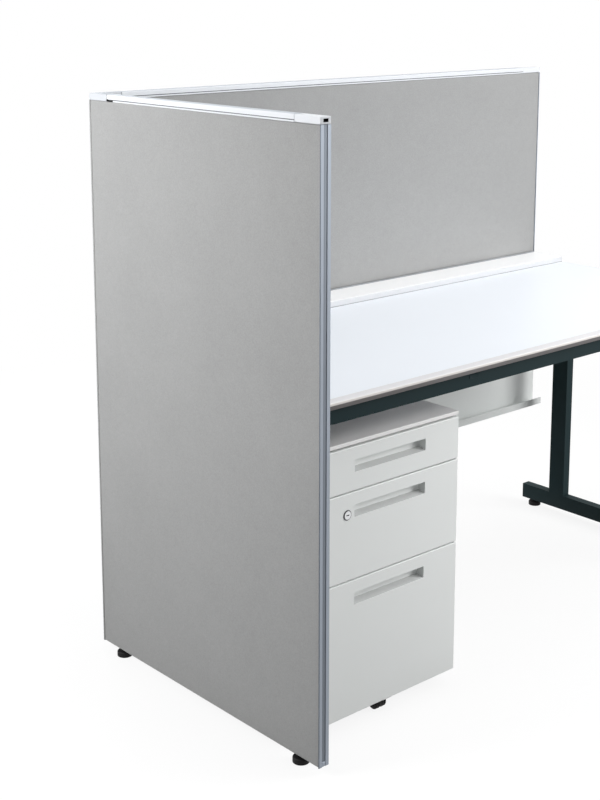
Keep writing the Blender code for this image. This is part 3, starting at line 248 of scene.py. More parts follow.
# satin metals; lines says how tightly the drawn lines lie along X, Y and Z
drawnUp, drawnAlong = (1500.0, 1500.0, 5.0), (5.0, 1500.0, 1500.0)
fineCast, turned = (700.0, 700.0, 700.0), (2600.0, 300.0, 2600.0)
metals = {
    "postAluminium": {"colour": (0.37, 0.41, 0.47, 1), "lines": drawnUp, "roughness": 0.50, "metallic": 0.30,
                      "depth": 0.00002, "spread": 0.10, "gloss": 0.20},
    # painted light: a lighter copy of the post aluminium, lifting the shade where the screen's base channel
    # shows in the gap above the flap; the end panel's base rail shares it
    "channelAluminiumLightened": {"colour": (0.50, 0.52, 0.55, 1), "lines": drawnAlong, "roughness": 0.50,
                         "metallic": 0.30, "depth": 0.00002, "spread": 0.10, "gloss": 0.20},
    # painted shade for the post grooves and the shadow gap beside the front post
    "postGrooveShade": {"colour": (0.22, 0.245, 0.28, 1), "lines": drawnUp, "roughness": 0.55, "metallic": 0.20,
                   "depth": 0.00002, "spread": 0.10, "gloss": 0.20},
    "capSilver": {"colour": (0.70, 0.72, 0.75, 1), "lines": fineCast, "roughness": 0.50, "metallic": 0.0,
                  "depth": 0.00001, "spread": 0.06, "gloss": 0.20},
    # painted shade: a darker copy of the cap silver for the corner connector, whose side faces the window
    # lamp
    "connectorSilverShaded": {"colour": (0.55, 0.57, 0.60, 1), "lines": fineCast, "roughness": 0.50,
                        "metallic": 0.0, "depth": 0.00001, "spread": 0.06, "gloss": 0.20},
    # painted shade: rail tops in a darker grey than the silver of the rails' sides
    "railTopShade": {"colour": (0.49, 0.52, 0.56, 1), "lines": fineCast, "roughness": 0.55, "metallic": 0.0,
                  "depth": 0.00001, "spread": 0.06, "gloss": 0.15},
    "lockChrome": {"colour": (0.66, 0.67, 0.68, 1), "lines": turned, "roughness": 0.14, "metallic": 1.0,
                   "depth": 0.00001, "spread": 0.05, "gloss": 0.50},
    "lockBezel": {"colour": (0.05, 0.05, 0.055, 1), "lines": turned, "roughness": 0.40, "metallic": 0.30,
                  "depth": 0.00001, "spread": 0.06, "gloss": 0.30},
}
metalTone = {"patches": 18.0, "strength": 0.04}


def makeMetal(name, metal):
    look, tree, shader, place = newLook(name)
    drawn = lay(tree, drawnLines, place, {"Lines per metre": metal["lines"], "Roughness": metal["roughness"],
                                          "Spread": metal["spread"]})
    toned = mottle(tree, place, metal["colour"], metalTone["patches"], metalTone["strength"])
    connect(tree, shader, toned, drawn["Roughness"], drawn["Height"], metal["depth"])
    shader.inputs["Metallic"].default_value = metal["metallic"]
    shader.inputs["Specular IOR Level"].default_value = metal["gloss"]
    return look


# powder painted sheet steel, and rubber with the same fine pebble
paints = {
    "pedestalPaint": {"colour": (0.85, 0.87, 0.86, 1), "roughness": 0.40, "pebbles": 1100.0, "depth": 0.00004,
                      "gloss": 0.50, "dust": 0.15},
    "modestyPaint": {"colour": (0.75, 0.77, 0.76, 1), "roughness": 0.45, "pebbles": 1100.0, "depth": 0.00004,
                     "gloss": 0.50, "dust": 0.15},
    "beamPaint": {"colour": (0.012, 0.026, 0.029, 1), "roughness": 0.58, "pebbles": 1400.0, "depth": 0.00006,
                  "gloss": 0.10, "dust": 0.05},
    # dark grey for the real gaskets in the connector joints, and painted shade in the rail grooves
    "railGasketAndGrooveShade": {"colour": (0.16, 0.17, 0.18, 1), "roughness": 0.70, "pebbles": 1600.0, "depth": 0.00004,
                   "gloss": 0.20, "dust": 0.0},
    # painted shadow: grey for the strip at the foot of the flap's lip
    "flapShadowLine": {"colour": (0.36, 0.37, 0.38, 1), "roughness": 0.70, "pebbles": 1600.0, "depth": 0.00005,
                 "gloss": 0.20, "dust": 0.0},
    # painted shade: grey for the floors of the pull recesses
    "pullFloorShade": {"colour": (0.54, 0.55, 0.545, 1), "roughness": 0.60, "pebbles": 1500.0, "depth": 0.00005,
                "gloss": 0.20, "dust": 0.0},
}
paintTone = {"patches": 5.0, "strength": 0.025, "dustReach": 0.09}


def makePaint(name, paint):
    look, tree, shader, place = newLook(name)
    skin = lay(tree, powderPaint, place, {"Pebbles per metre": paint["pebbles"],
                                          "Roughness": paint["roughness"]})
    toned = mottle(tree, place, paint["colour"], paintTone["patches"], paintTone["strength"])
    dusty = lay(tree, floorDust, place, {"Colour": toned, "Reach": paintTone["dustReach"],
                                         "Amount": paint["dust"]})
    connect(tree, shader, dusty["Colour"], skin["Roughness"], skin["Height"], paint["depth"])
    shader.inputs["Specular IOR Level"].default_value = paint["gloss"]
    return look


# the lip colour is painted shade; top and lip are one white paint
flapPaint = {"top": (0.93, 0.935, 0.94, 1), "lip": (0.60, 0.61, 0.63, 1), "sheet": 0.0008, "roughness": 0.40,
             "spread": 0.04, "patches": 5.0, "strength": 0.02, "pebbles": 1100.0, "depth": 0.00003,
             "gloss": 0.3}


# white flap, its lip painted grey below a near-white top: painted shade on the lip, which catches more light
# than the top
def makeFlapPaint():
    look, tree, shader, place = newLook("flapPaint")
    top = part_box("wiring_flap")[1].z
    onTop = remap(tree, heightOf(tree, place), top - flapPaint["sheet"], top - flapPaint["sheet"] / 4)
    shadedLipTone = mixColour(tree, onTop, flapPaint["lip"], flapPaint["top"])
    toned = mottle(tree, place, shadedLipTone, flapPaint["patches"], flapPaint["strength"])
    skin = lay(tree, powderPaint, place, {"Pebbles per metre": flapPaint["pebbles"],
                                          "Roughness": flapPaint["roughness"], "Spread": flapPaint["spread"]})
    connect(tree, shader, toned, skin["Roughness"], skin["Height"], flapPaint["depth"])
    shader.inputs["Specular IOR Level"].default_value = flapPaint["gloss"]
    return look


topBoard = {"colour": (0.83, 0.865, 0.915, 1), "rawEdge": (0.70, 0.68, 0.63, 1), "roughness": 0.42,
            "glossSpread": 0.02, "pebbles": 1500.0, "speckles": 900.0, "speckle": 0.012, "widePatches": 4.0,
            "wide": 0.012, "flatFrom": 0.5, "depth": 0.00002, "gloss": 0.3}


# melamine face with a fine pebble; the sawn end of the board has a warmer band
def makeTopLaminate():
    look, tree, shader, place = newLook("topLaminate")
    pebble = lay(tree, powderPaint, place, {"Pebbles per metre": topBoard["pebbles"],
                                            "Roughness": topBoard["roughness"],
                                            "Spread": topBoard["glossSpread"]})
    speckle = mottle(tree, place, topBoard["colour"], topBoard["speckles"], topBoard["speckle"])
    wide = mottle(tree, place, speckle, topBoard["widePatches"], topBoard["wide"])
    flat = sums(tree, "GREATER_THAN", lyingFlat(tree), topBoard["flatFrom"])
    banded = mixColour(tree, flat, topBoard["rawEdge"], wide)
    connect(tree, shader, banded, pebble["Roughness"], pebble["Height"], topBoard["depth"])
    shader.inputs["Specular IOR Level"].default_value = topBoard["gloss"]
    return look


# the darkest colour here is painted shade for the undercut, which faces the floor and lies in shade
frontEdge = {"cream": (0.70, 0.665, 0.635, 1), "below": (0.155, 0.135, 0.135, 1),
             "white": (0.72, 0.715, 0.73, 1), "upright": 0.0055, "under": 0.0005, "over": 0.0003,
             "crestFoot": 0.0020, "crestTop": 0.0002, "patches": 25.0, "strength": 0.03,
             "lines": (6.0, 1400.0, 1400.0), "roughness": 0.42, "spread": 0.08, "depth": 0.00002}


# moulded edge: white at the top, cream on the upright part, and painted shade in dark brown grey where it
# slopes back underneath
def makeEdgeMoulding():
    look, tree, shader, place = newLook("edgeMoulding")
    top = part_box("desktop_front_edge")[1].z
    foot = top - frontEdge["upright"]
    height = heightOf(tree, place)
    undercutShadeMask = remap(tree, height, foot - frontEdge["under"], foot + frontEdge["over"])
    crest = remap(tree, height, top - frontEdge["crestFoot"], top - frontEdge["crestTop"])
    upright = mixColour(tree, undercutShadeMask, frontEdge["below"], frontEdge["cream"])
    whole = mixColour(tree, crest, upright, frontEdge["white"])
    toned = mottle(tree, place, whole, frontEdge["patches"], frontEdge["strength"])
    drawn = lay(tree, drawnLines, place, {"Lines per metre": frontEdge["lines"],
                                          "Roughness": frontEdge["roughness"], "Spread": frontEdge["spread"]})
    connect(tree, shader, toned, drawn["Roughness"], drawn["Height"], frontEdge["depth"])
    return look


pedestalTop = {"face": (0.84, 0.83, 0.825, 1), "edge": (0.90, 0.89, 0.885, 1), "edgeTo": 0.55,
               "faceFrom": 0.95, "speckles": 700.0, "speckle": 0.02, "pebbles": 1300.0, "roughness": 0.45,
               "depth": 0.00002}


# thin board with a white band along its edges
def makePedestalLaminate():
    look, tree, shader, place = newLook("pedestalLaminate")
    flat = remap(tree, lyingFlat(tree), pedestalTop["edgeTo"], pedestalTop["faceFrom"])
    banded = mixColour(tree, flat, pedestalTop["edge"], pedestalTop["face"])
    speckle = mottle(tree, place, banded, pedestalTop["speckles"], pedestalTop["speckle"])
    pebble = lay(tree, powderPaint, place, {"Pebbles per metre": pedestalTop["pebbles"],
                                            "Roughness": pedestalTop["roughness"]})
    connect(tree, shader, speckle, pebble["Roughness"], pebble["Height"], pedestalTop["depth"])
    return look


# cells that share two tones: pressed chips where a core shows, faint crystals under zinc plate
cells = {
    "chipBoard": {"perMetre": 320.0, "dark": (0.30, 0.22, 0.14, 1), "light": (0.60, 0.48, 0.33, 1),
                  "roughness": (0.70, 0.95), "roughBy": "Distance", "metallic": 0.0, "depth": 0.0002},
    "zincPlate": {"perMetre": 170.0, "dark": (0.52, 0.53, 0.55, 1), "light": (0.68, 0.69, 0.70, 1),
                  "roughness": (0.30, 0.44), "roughBy": "Color", "metallic": 0.9, "depth": 0.00003},
}


def makeCells(name, cell):
    look, tree, shader, place = newLook(name)
    grains = put(tree, "TexVoronoi", {"Vector": place, "Scale": cell["perMetre"]}).outputs
    patch = put(tree, "SeparateColor", {0: grains["Color"]}).outputs[0]
    tones = put(tree, "ValToRGB", {"Fac": patch})
    tones.color_ramp.elements[0].color = cell["dark"]
    tones.color_ramp.elements[1].color = cell["light"]
    satin = patch if cell["roughBy"] == "Color" else grains["Distance"]
    worn = remap(tree, satin, 0.0, 1.0, *cell["roughness"])
    connect(tree, shader, tones.outputs["Color"], worn, grains["Distance"], cell["depth"])
    shader.inputs["Metallic"].default_value = cell["metallic"]
    return look


blackNylon = {"colour": (0.006, 0.006, 0.0065, 1), "roughness": 0.55, "spread": 0.12, "pebbles": 1800.0,
              "dustReach": 0.03, "dust": 0.02, "depth": 0.00004, "gloss": 0.15}


def makeBlackNylon():
    look, tree, shader, place = newLook("blackNylon")
    grain = lay(tree, powderPaint, place, {"Pebbles per metre": blackNylon["pebbles"],
                                           "Roughness": blackNylon["roughness"],
                                           "Spread": blackNylon["spread"]})
    dusty = lay(tree, floorDust, place, {"Colour": blackNylon["colour"], "Reach": blackNylon["dustReach"],
                                         "Amount": blackNylon["dust"]})
    connect(tree, shader, dusty["Colour"], grain["Roughness"], grain["Height"], blackNylon["depth"])
    shader.inputs["Specular IOR Level"].default_value = blackNylon["gloss"]
    return look


metalLooks = {name: makeMetal(name, metal) for name, metal in metals.items()}
paintLooks = {name: makePaint(name, paint) for name, paint in paints.items()}
looks = {
    "grey_fabric": makeGreyCloth(),
    "core_board": makeCells("chipBoard", cells["chipBoard"]),
    "aluminium": metalLooks["postAluminium"],
    "silver_cap": metalLooks["capSilver"],
    "white_laminate": makeTopLaminate(),
    "edge_moulding": makeEdgeMoulding(),
    "dark_steel": paintLooks["beamPaint"],
    "white_steel": paintLooks["pedestalPaint"],
    "grey_steel": paintLooks["modestyPaint"],
    "pedestal_board": makePedestalLaminate(),
    "zinc_steel": makeCells("zincPlate", cells["zincPlate"]),
    "lock_chrome": metalLooks["lockChrome"],
    "black_plastic": makeBlackNylon(),
}
ownLooks = {
    "screen_base_channel": metalLooks["channelAluminiumLightened"],
    "end_panel_base_rail": metalLooks["channelAluminiumLightened"],
    "wiring_flap": makeFlapPaint(),
    "corner_connector": metalLooks["connectorSilverShaded"],
}
for row in frame["record"]["subparts"]:
    mesh = nodes[row["node"]].data
    mesh.materials.clear()
    mesh.materials.append(ownLooks.get(row["node"], looks[row["material_slot"]]))
print("finishes laid on", len(nodes), "pieces of the frame")


# bench helpers
hair = 0.00001  # points closer than this lie on one plane
square = 0.99  # a face with this much of its normal along a way looks that way
level = 0.01  # and one with less than this lies along it


def clearBench():
    if bpy.context.object and bpy.context.object.mode != "OBJECT":
        bpy.ops.object.mode_set(mode="OBJECT")
    bpy.ops.object.select_all(action="DESELECT")


# the new primitive gets its name and keeps its place in its mesh
def settle(name, scale=(1, 1, 1)):
    piece = bpy.context.object
    piece.name = piece.data.name = name
    piece.scale = scale
    bpy.ops.object.transform_apply(location=True, rotation=True, scale=True)
    return piece


def startBlock(name, low, high):
    clearBench()
    low, high = Vector(low), Vector(high)
    bpy.ops.mesh.primitive_cube_add(size=1, location=(low + high) / 2)
    return settle(name, high - low)


def startRound(name, centre, axis, radius, depth, sides=48):
    clearBench()
    turn = Vector(axis).to_track_quat("Z", "Y").to_euler()
    bpy.ops.mesh.primitive_cylinder_add(vertices=sides, radius=radius, depth=depth, location=centre,
                                        rotation=turn)
    return settle(name)


def startPicking(kind):
    bpy.ops.object.mode_set(mode="EDIT")
    bpy.ops.mesh.select_mode(type=kind)
    bpy.ops.mesh.select_all(action="DESELECT")
    bpy.ops.object.mode_set(mode="OBJECT")


def pickFaces(piece, wanted):
    startPicking("FACE")
    for face in piece.data.polygons:
        face.select = wanted(face)
    bpy.ops.object.mode_set(mode="EDIT")


def pickEdges(piece, wanted):
    startPicking("EDGE")
    points = piece.data.vertices
    for edge in piece.data.edges:
        edge.select = wanted(points[edge.vertices[0]].co, points[edge.vertices[1]].co)
    bpy.ops.object.mode_set(mode="EDIT")


# the face that looks furthest along a way, and the rim round it
def outerFace(piece, way):
    reach = max(v.co.dot(way) for v in piece.data.vertices)
    return lambda face: face.normal.dot(way) > square and face.center.dot(way) > reach - hair


def outerRim(piece, way):
    reach = max(v.co.dot(way) for v in piece.data.vertices)
    return lambda a, b: a.dot(way) > reach - hair and b.dot(way) > reach - hair


def roundRim(piece, way, rim, steps=2):
    pickEdges(piece, outerRim(piece, way))
    bpy.ops.mesh.bevel(offset=rim, segments=steps, affect="EDGES")
    bpy.ops.object.mode_set(mode="OBJECT")


# the outer face drawn in by a margin and lifted, or sunk where rise is below zero
def stepFace(piece, way, margin, rise):
    pickFaces(piece, outerFace(piece, way))
    bpy.ops.mesh.inset(thickness=margin)
    bpy.ops.transform.translate(value=way * rise)
    bpy.ops.object.mode_set(mode="OBJECT")


# a flat sheet opened to a frame, which then gets a wall and soft rims
def openFrame(piece, flange, wall, offset, rim, steps):
    bpy.ops.object.mode_set(mode="EDIT")
    bpy.ops.mesh.select_mode(type="FACE")
    bpy.ops.mesh.select_all(action="SELECT")
    bpy.ops.mesh.inset(thickness=flange)
    bpy.ops.mesh.delete(type="FACE")
    bpy.ops.object.mode_set(mode="OBJECT")
    solid = piece.modifiers.new("frameWall", "SOLIDIFY")
    solid.thickness, solid.offset = wall, offset
    bpy.ops.object.modifier_apply(modifier=solid.name)
    rims = piece.modifiers.new("frameRims", "BEVEL")
    rims.width, rims.segments = rim, steps
    bpy.ops.object.modifier_apply(modifier=rims.name)


# the part of a node's box between two depths behind the face that looks along a way
def sliceBehind(node, way, sink, depth):
    start, end = (corner.copy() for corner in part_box(node))
    axis = 0 if way.x else 1
    face = end[axis] if way[axis] > 0 else start[axis]
    start[axis], end[axis] = sorted((face - way[axis] * sink, face - way[axis] * depth))
    return start, end


# the same, kept to a width about the middle of the node
def grooveBox(node, way, size):
    start, end = sliceBehind(node, way, size["sink"], size["depth"])
    across = 1 if way.x else 0
    middle = (start[across] + end[across]) / 2
    start[across], end[across] = middle - size["width"] / 2, middle + size["width"] / 2
    return start, end


def joinPieces(pieces):
    clearBench()
    for piece in pieces:
        piece.select_set(True)
    bpy.context.view_layer.objects.active = pieces[0]
    bpy.ops.object.join()


# copies of one piece set at the other places and joined to it
def repeatPiece(piece, moves):
    copies = [piece]
    for move in moves:
        clearBench()
        piece.select_set(True)
        bpy.context.view_layer.objects.active = piece
        bpy.ops.object.duplicate(linked=False)
        bpy.ops.transform.translate(value=move)
        bpy.ops.object.transform_apply(location=True, rotation=True, scale=True)
        copies.append(bpy.context.object)
    joinPieces(copies)


def finishPiece(piece, body, slotName, look=None, angle=35):
    clearBench()
    piece.select_set(True)
    bpy.context.view_layer.objects.active = piece
    bpy.ops.object.shade_smooth_by_angle(angle=math.radians(angle))
    piece.data.materials.clear()
    piece.data.materials.append(look or looks[slotName])
    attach(piece, body)


# cloth stretched over the boards: soft rims and a slight crown inside the pad's own space
panelCloth = {"rim": 0.0028, "rimSteps": 4, "crown": 0.0009, "rings": (0.008, 0.016, 0.035, 0.07),
              "lifts": (0.40, 0.28, 0.20, 0.12), "softAngle": 60}


def makePanelCloth(name, node, way):
    low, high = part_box(node)
    sink = way * panelCloth["crown"]
    if way.x + way.y > 0:
        high = high - sink
    else:
        low = low - sink
    piece = startBlock(name, low, high)
    roundRim(piece, way, panelCloth["rim"], panelCloth["rimSteps"])
    for ring, lift in zip(panelCloth["rings"], panelCloth["lifts"]):
        stepFace(piece, way, ring, panelCloth["crown"] * lift)
    finishPiece(piece, "desk", "grey_fabric", angle=panelCloth["softAngle"])
    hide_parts(node)


makePanelCloth("endOuterCloth", "end_panel_outer_pad", -xAxis)
makePanelCloth("endInnerCloth", "end_panel_inner_pad", xAxis)
makePanelCloth("screenFrontCloth", "screen_front_pad", -yAxis)
makePanelCloth("screenRearCloth", "screen_rear_pad", yAxis)
print("cloth on both sides of the end panel and the screen")


# black cups that line the sockets in the caps, and one in the slot in the rail as painted shade for the gap
# there
socketCup = {"width": 0.0117, "height": 0.0062, "sink": 0.0003, "depth": 0.0094, "wall": 0.0009,
             "hollow": 0.007}
railGapShade = {"length": 0.0214, "height": 0.0034, "sink": 0.0004, "depth": 0.0036, "wall": 0.0006,
            "hollow": 0.002, "setback": 0.0003, "lift": 0.0002}


def makeCup(name, start, end, way, cup):
    piece = startBlock(name, start, end)
    stepFace(piece, way, cup["wall"], -cup["hollow"])
    finishPiece(piece, "desk", "black_plastic")


for name, node, way in (("frontCapSocket", "end_panel_front_cap", -yAxis),
                        ("screenCapSocket", "screen_end_cap", xAxis)):
    start, end = grooveBox(node, way, socketCup)
    middleZ = (start.z + end.z) / 2
    start.z, end.z = middleZ - socketCup["height"] / 2, middleZ + socketCup["height"] / 2
    makeCup(name, start, end, way, socketCup)
# painted shade: the black cup stands in for the dark gap the connecting piece leaves in the rail
start, end = sliceBehind("end_panel_top_rail", -xAxis, railGapShade["sink"], railGapShade["depth"])
end.y -= railGapShade["setback"]
start.y = end.y - railGapShade["length"]
start.z += railGapShade["lift"]
end.z = start.z + railGapShade["height"]
makeCup("railJointGapShade", start, end, -xAxis, railGapShade)


# small cover over the punched slot in the front beam
beamCover = {"middleX": -0.243, "length": 0.028, "height": 0.008, "proud": 0.0009, "drop": 0.0135,
             "rim": 0.0005, "margin": 0.0012, "dish": 0.0004}
low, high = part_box("front_beam")
coverX, coverZ = beamCover["middleX"], high.z - beamCover["drop"]
halfLength, halfHeight = beamCover["length"] / 2, beamCover["height"] / 2
cover = startBlock("beamSlotCover", (coverX - halfLength, low.y - beamCover["proud"], coverZ - halfHeight),
                   (coverX + halfLength, low.y, coverZ + halfHeight))
roundRim(cover, -yAxis, beamCover["rim"])
stepFace(cover, -yAxis, beamCover["margin"], -beamCover["dish"])
finishPiece(cover, "desk", "dark_steel")
print("socket cups and beam cover in place")


# grey strip pressed into the top of each rail: painted shade, the rail tops set darker than their white sides
# as light falls on them
railTopShade = {"margin": 0.0028, "proud": 0.0004, "sink": 0.0002, "rim": 0.0002}
margin = railTopShade["margin"]
for name, node, across in (("endRailTopShade", "end_panel_top_rail", xAxis),
                           ("screenRailTopShade", "screen_top_rail", yAxis)):
    low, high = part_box(node)
    topShadeStrip = startBlock(name, Vector((low.x, low.y, high.z - railTopShade["sink"])) + across * margin,
                       Vector((high.x, high.y, high.z + railTopShade["proud"])) - across * margin)
    roundRim(topShadeStrip, zAxis, railTopShade["rim"])
    finishPiece(topShadeStrip, "desk", "silver_cap", metalLooks["railTopShade"])

# the same painted-shade strip turned round the corner connector, and a dark gasket in each joint beside it
cornerShadeStripAndGaskets = {"rail": 0.025, "gap": 0.0006, "gasket": 0.0008, "gasketProud": 0.0002, "gasketRim": 0.00015}
low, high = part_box("corner_connector")
cornerX, cornerY = low.x + cornerShadeStripAndGaskets["rail"] - margin, high.y - cornerShadeStripAndGaskets["rail"] + margin
topShadeStrip = startBlock("connectorTopShade", (low.x + margin, cornerY, high.z - railTopShade["sink"]),
                   (cornerX, high.y - margin, high.z + railTopShade["proud"]))
arms = ((lambda face: face.normal.x > square, high.x - cornerShadeStripAndGaskets["gap"] - cornerX),
        (lambda face: face.normal.y < -square and face.center.x < cornerX,
         cornerY - cornerShadeStripAndGaskets["gap"] - low.y))
for wanted, reach in arms:
    pickFaces(topShadeStrip, wanted)
    bpy.ops.mesh.inset(thickness=0, depth=reach)
    bpy.ops.object.mode_set(mode="OBJECT")
stepFace(topShadeStrip, zAxis, railTopShade["rim"], railTopShade["rim"] / 2)
finishPiece(topShadeStrip, "desk", "silver_cap", metalLooks["railTopShade"])
proud, half = cornerShadeStripAndGaskets["gasketProud"], cornerShadeStripAndGaskets["gasket"] / 2
gaskets = (("endRailGasket", (low.x - proud, low.y - half, low.z),
            (low.x + cornerShadeStripAndGaskets["rail"] + proud, low.y + half, high.z + proud)),
           ("screenRailGasket", (high.x - half, high.y - cornerShadeStripAndGaskets["rail"] - proud, low.z),
            (high.x + half, high.y + proud, high.z + proud)))
for name, near, far in gaskets:
    gasket = startBlock(name, near, far)
    roundRim(gasket, zAxis, cornerShadeStripAndGaskets["gasketRim"])
    finishPiece(gasket, "desk", "black_plastic", paintLooks["railGasketAndGrooveShade"])

# dark strips in the shadow grooves along both sides of the rails, painted shade where the lit grooves showed
# too little shadow
grooveShadeLine = {"foot": 0.0031, "height": 0.0016, "sink": 0.0008, "depth": 0.0029, "rim": 0.0003,
              "notch": 0.023}
for name, node, way in (("endRailOuterGrooveShade", "end_panel_top_rail", -xAxis),
                        ("endRailInnerGrooveShade", "end_panel_top_rail", xAxis),
                        ("screenRailFrontGrooveShade", "screen_top_rail", -yAxis),
                        ("screenRailRearGrooveShade", "screen_top_rail", yAxis)):
    start, end = sliceBehind(node, way, grooveShadeLine["sink"], grooveShadeLine["depth"])
    if way.x < 0:
        end.y -= grooveShadeLine["notch"]  # clear of the slot in the rail
    start.z += grooveShadeLine["foot"]
    end.z = start.z + grooveShadeLine["height"]
    shadeLine = startBlock(name, start, end)
    roundRim(shadeLine, way, grooveShadeLine["rim"])
    finishPiece(shadeLine, "desk", "black_plastic", paintLooks["railGasketAndGrooveShade"])
print("seals laid in the rail grooves")


# dark grey inserts in the long grooves of the posts: painted shade standing in for the grooves' shadow
postGrooveShade = {"width": 0.0086, "sink": 0.0011, "depth": 0.0074, "foot": 0.0104, "rim": 0.0006}
for name, node, way in (("frontPostGrooveShade", "end_panel_front_post", -yAxis),
                        ("rearPostGrooveShade", "end_panel_rear_post", yAxis),
                        ("screenPostGrooveShade", "screen_end_post", xAxis)):
    start, end = grooveBox(node, way, postGrooveShade)
    if way.y:
        start.z += postGrooveShade["foot"]  # room for the plug below
    grooveShadeInsert = startBlock(name, start, end)
    roundRim(grooveShadeInsert, way, postGrooveShade["rim"])
    finishPiece(grooveShadeInsert, "desk", "aluminium", metalLooks["postGrooveShade"])


# dark bead where the front post meets the outer cloth, painted shade for the shadow gap there, and cloth
# piping that wraps the rear edge
shadowGapBead = {"proud": 0.0003, "depth": 0.0008, "width": 0.0017, "rim": 0.0002}
edgePiping = {"proud": 0.0004, "depth": 0.0016, "width": 0.0046, "rim": 0.0012, "steps": 4, "ahead": 0.0002}
low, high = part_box("end_panel_outer_pad")
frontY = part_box("end_panel_front_post")[0].y
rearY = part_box("end_panel_rear_post")[1].y + edgePiping["ahead"]
gapShadeBead = startBlock("frontShadowGapBead", (low.x - shadowGapBead["proud"], frontY, low.z),
                  (low.x + shadowGapBead["depth"], frontY + shadowGapBead["width"], high.z))
roundRim(gapShadeBead, -xAxis, shadowGapBead["rim"])
finishPiece(gapShadeBead, "desk", "black_plastic", metalLooks["postGrooveShade"])
piping = startBlock("rearEdgePiping", (low.x - edgePiping["proud"], rearY - edgePiping["width"], low.z),
                    (low.x + edgePiping["depth"], rearY, high.z))
roundRim(piping, -xAxis, edgePiping["rim"], edgePiping["steps"])
finishPiece(piping, "desk", "grey_fabric", angle=panelCloth["softAngle"])
print("post inserts and edge lines in place")

# plugs in the feet of the grooves
groovePlug = {"width": 0.0086, "sink": 0.0003, "depth": 0.0076, "height": 0.010, "rim": 0.0008}
for name, node, way in (("frontGroovePlug", "end_panel_front_post", -yAxis),
                        ("rearGroovePlug", "end_panel_rear_post", yAxis)):
    start, end = grooveBox(node, way, groovePlug)
    end.z = start.z + groovePlug["height"]
    plug = startBlock(name, start, end)
    roundRim(plug, way, groovePlug["rim"])
    finishPiece(plug, "desk", "aluminium")
print("rail strips and groove plugs in place")


# raised ring round the lock and a dark lining in its key slot
lockTrim = {"inner": 0.0089, "outer": 0.0104, "proud": 0.0011, "rim": 0.0004, "rimSteps": 3, "sides": 64}
keySlot = {"length": 0.0076, "height": 0.0017, "sink": 0.0007, "depth": 0.0040, "wall": 0.0004,
           "hollow": 0.0015}
lockLow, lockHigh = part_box("lock_cylinder")
lockX, lockZ = (lockLow.x + lockHigh.x) / 2, (lockLow.z + lockHigh.z) / 2
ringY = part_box("box_drawer_front")[0].y - lockTrim["proud"] / 2
clearBench()
bpy.ops.mesh.primitive_circle_add(vertices=lockTrim["sides"], radius=lockTrim["outer"], fill_type="NGON",
                                  rotation=(math.pi / 2, 0, 0), location=(lockX, ringY, lockZ))
ring = settle("lockRing")
openFrame(ring, lockTrim["outer"] - lockTrim["inner"], lockTrim["proud"], 0, lockTrim["rim"],
          lockTrim["rimSteps"])
bpy.ops.object.mode_set(mode="EDIT")
bpy.ops.mesh.select_all(action="SELECT")
bpy.ops.mesh.normals_make_consistent(inside=False)
finishPiece(ring, "box_drawer", "lock_chrome", metalLooks["lockBezel"])

halfLength, halfHeight = keySlot["length"] / 2, keySlot["height"] / 2
lining = startBlock("keySlotLining", (lockX - halfLength, lockLow.y + keySlot["sink"], lockZ - halfHeight),
                    (lockX + halfLength, lockLow.y + keySlot["depth"], lockZ + halfHeight))
stepFace(lining, -yAxis, keySlot["wall"], -keySlot["hollow"])
finishPiece(lining, "lock", "black_plastic")
print("lock trimmed")


# grey pads on the sloping floors of the pulls: painted shade for the darker floor of each recess
drawers = ("pen", "box", "file")
pullFloorShade = {"width": 0.1972, "foot": 0.0515, "rise": 0.004, "thickness": 0.0005, "sink": 0.0003,
           "depth": 0.0183, "setback": 0.0005, "rim": 0.0002}
for drawer in drawers:
    low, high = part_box(drawer + "_drawer_front")
    middleX, foot = (low.x + high.x) / 2, high.z - pullFloorShade["foot"]
    shadePad = startBlock(drawer + "PullFloorShade",
                     (middleX - pullFloorShade["width"] / 2, low.y + pullFloorShade["setback"], foot - pullFloorShade["sink"]),
                     (middleX + pullFloorShade["width"] / 2, low.y + pullFloorShade["depth"], foot + pullFloorShade["thickness"]))
    pickEdges(shadePad, outerRim(shadePad, yAxis))
    bpy.ops.transform.translate(value=(0, 0, pullFloorShade["rise"]))
    bpy.ops.object.mode_set(mode="OBJECT")
    roundRim(shadePad, -yAxis, pullFloorShade["rim"])
    finishPiece(shadePad, drawer + "_drawer", "black_plastic", paintLooks["pullFloorShade"])
print("pads laid in the pulls")


# grey strip along the foot of the flap's lip, standing in for the contact shadow there: painted shadow
flapShadowLine = {"height": 0.0016, "proud": 0.0008, "rim": 0.0003, "steps": 3}
low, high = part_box("wiring_flap")
shadeLine = startBlock("flapShadowLineStrip", (low.x, low.y - flapShadowLine["proud"], low.z),
                  (high.x, low.y, low.z + flapShadowLine["height"]))
roundRim(shadeLine, -yAxis, flapShadowLine["rim"], flapShadowLine["steps"])
finishPiece(shadeLine, "wiring_flap", "black_plastic", paintLooks["flapShadowLine"])


# black cheeks with round feet on both sides of the anti-tip wheel
tipCheek = {"inner": 0.0094, "outer": 0.0130, "reach": 0.0135, "top": 0.0324, "round": 0.98, "roundSteps": 12,
            "rim": 0.0005}
low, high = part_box("anti_tip_wheel")
axle = (low + high) / 2
cheek = startBlock("tipWheelCheeks", axle - Vector((tipCheek["outer"], tipCheek["reach"], tipCheek["reach"])),
                   (axle.x - tipCheek["inner"], axle.y + tipCheek["reach"], tipCheek["top"]))
foot = axle.z - tipCheek["reach"] + hair
pickEdges(cheek, lambda a, b: max(a.z, b.z) < foot and abs(a.y - b.y) < hair)
bpy.ops.mesh.bevel(offset=tipCheek["reach"] * tipCheek["round"], segments=tipCheek["roundSteps"],
                   affect="EDGES")
bpy.ops.object.mode_set(mode="OBJECT")
for way in (xAxis, -xAxis):
    roundRim(cheek, way, tipCheek["rim"])
repeatPiece(cheek, [(tipCheek["inner"] + tipCheek["outer"], 0, 0)])
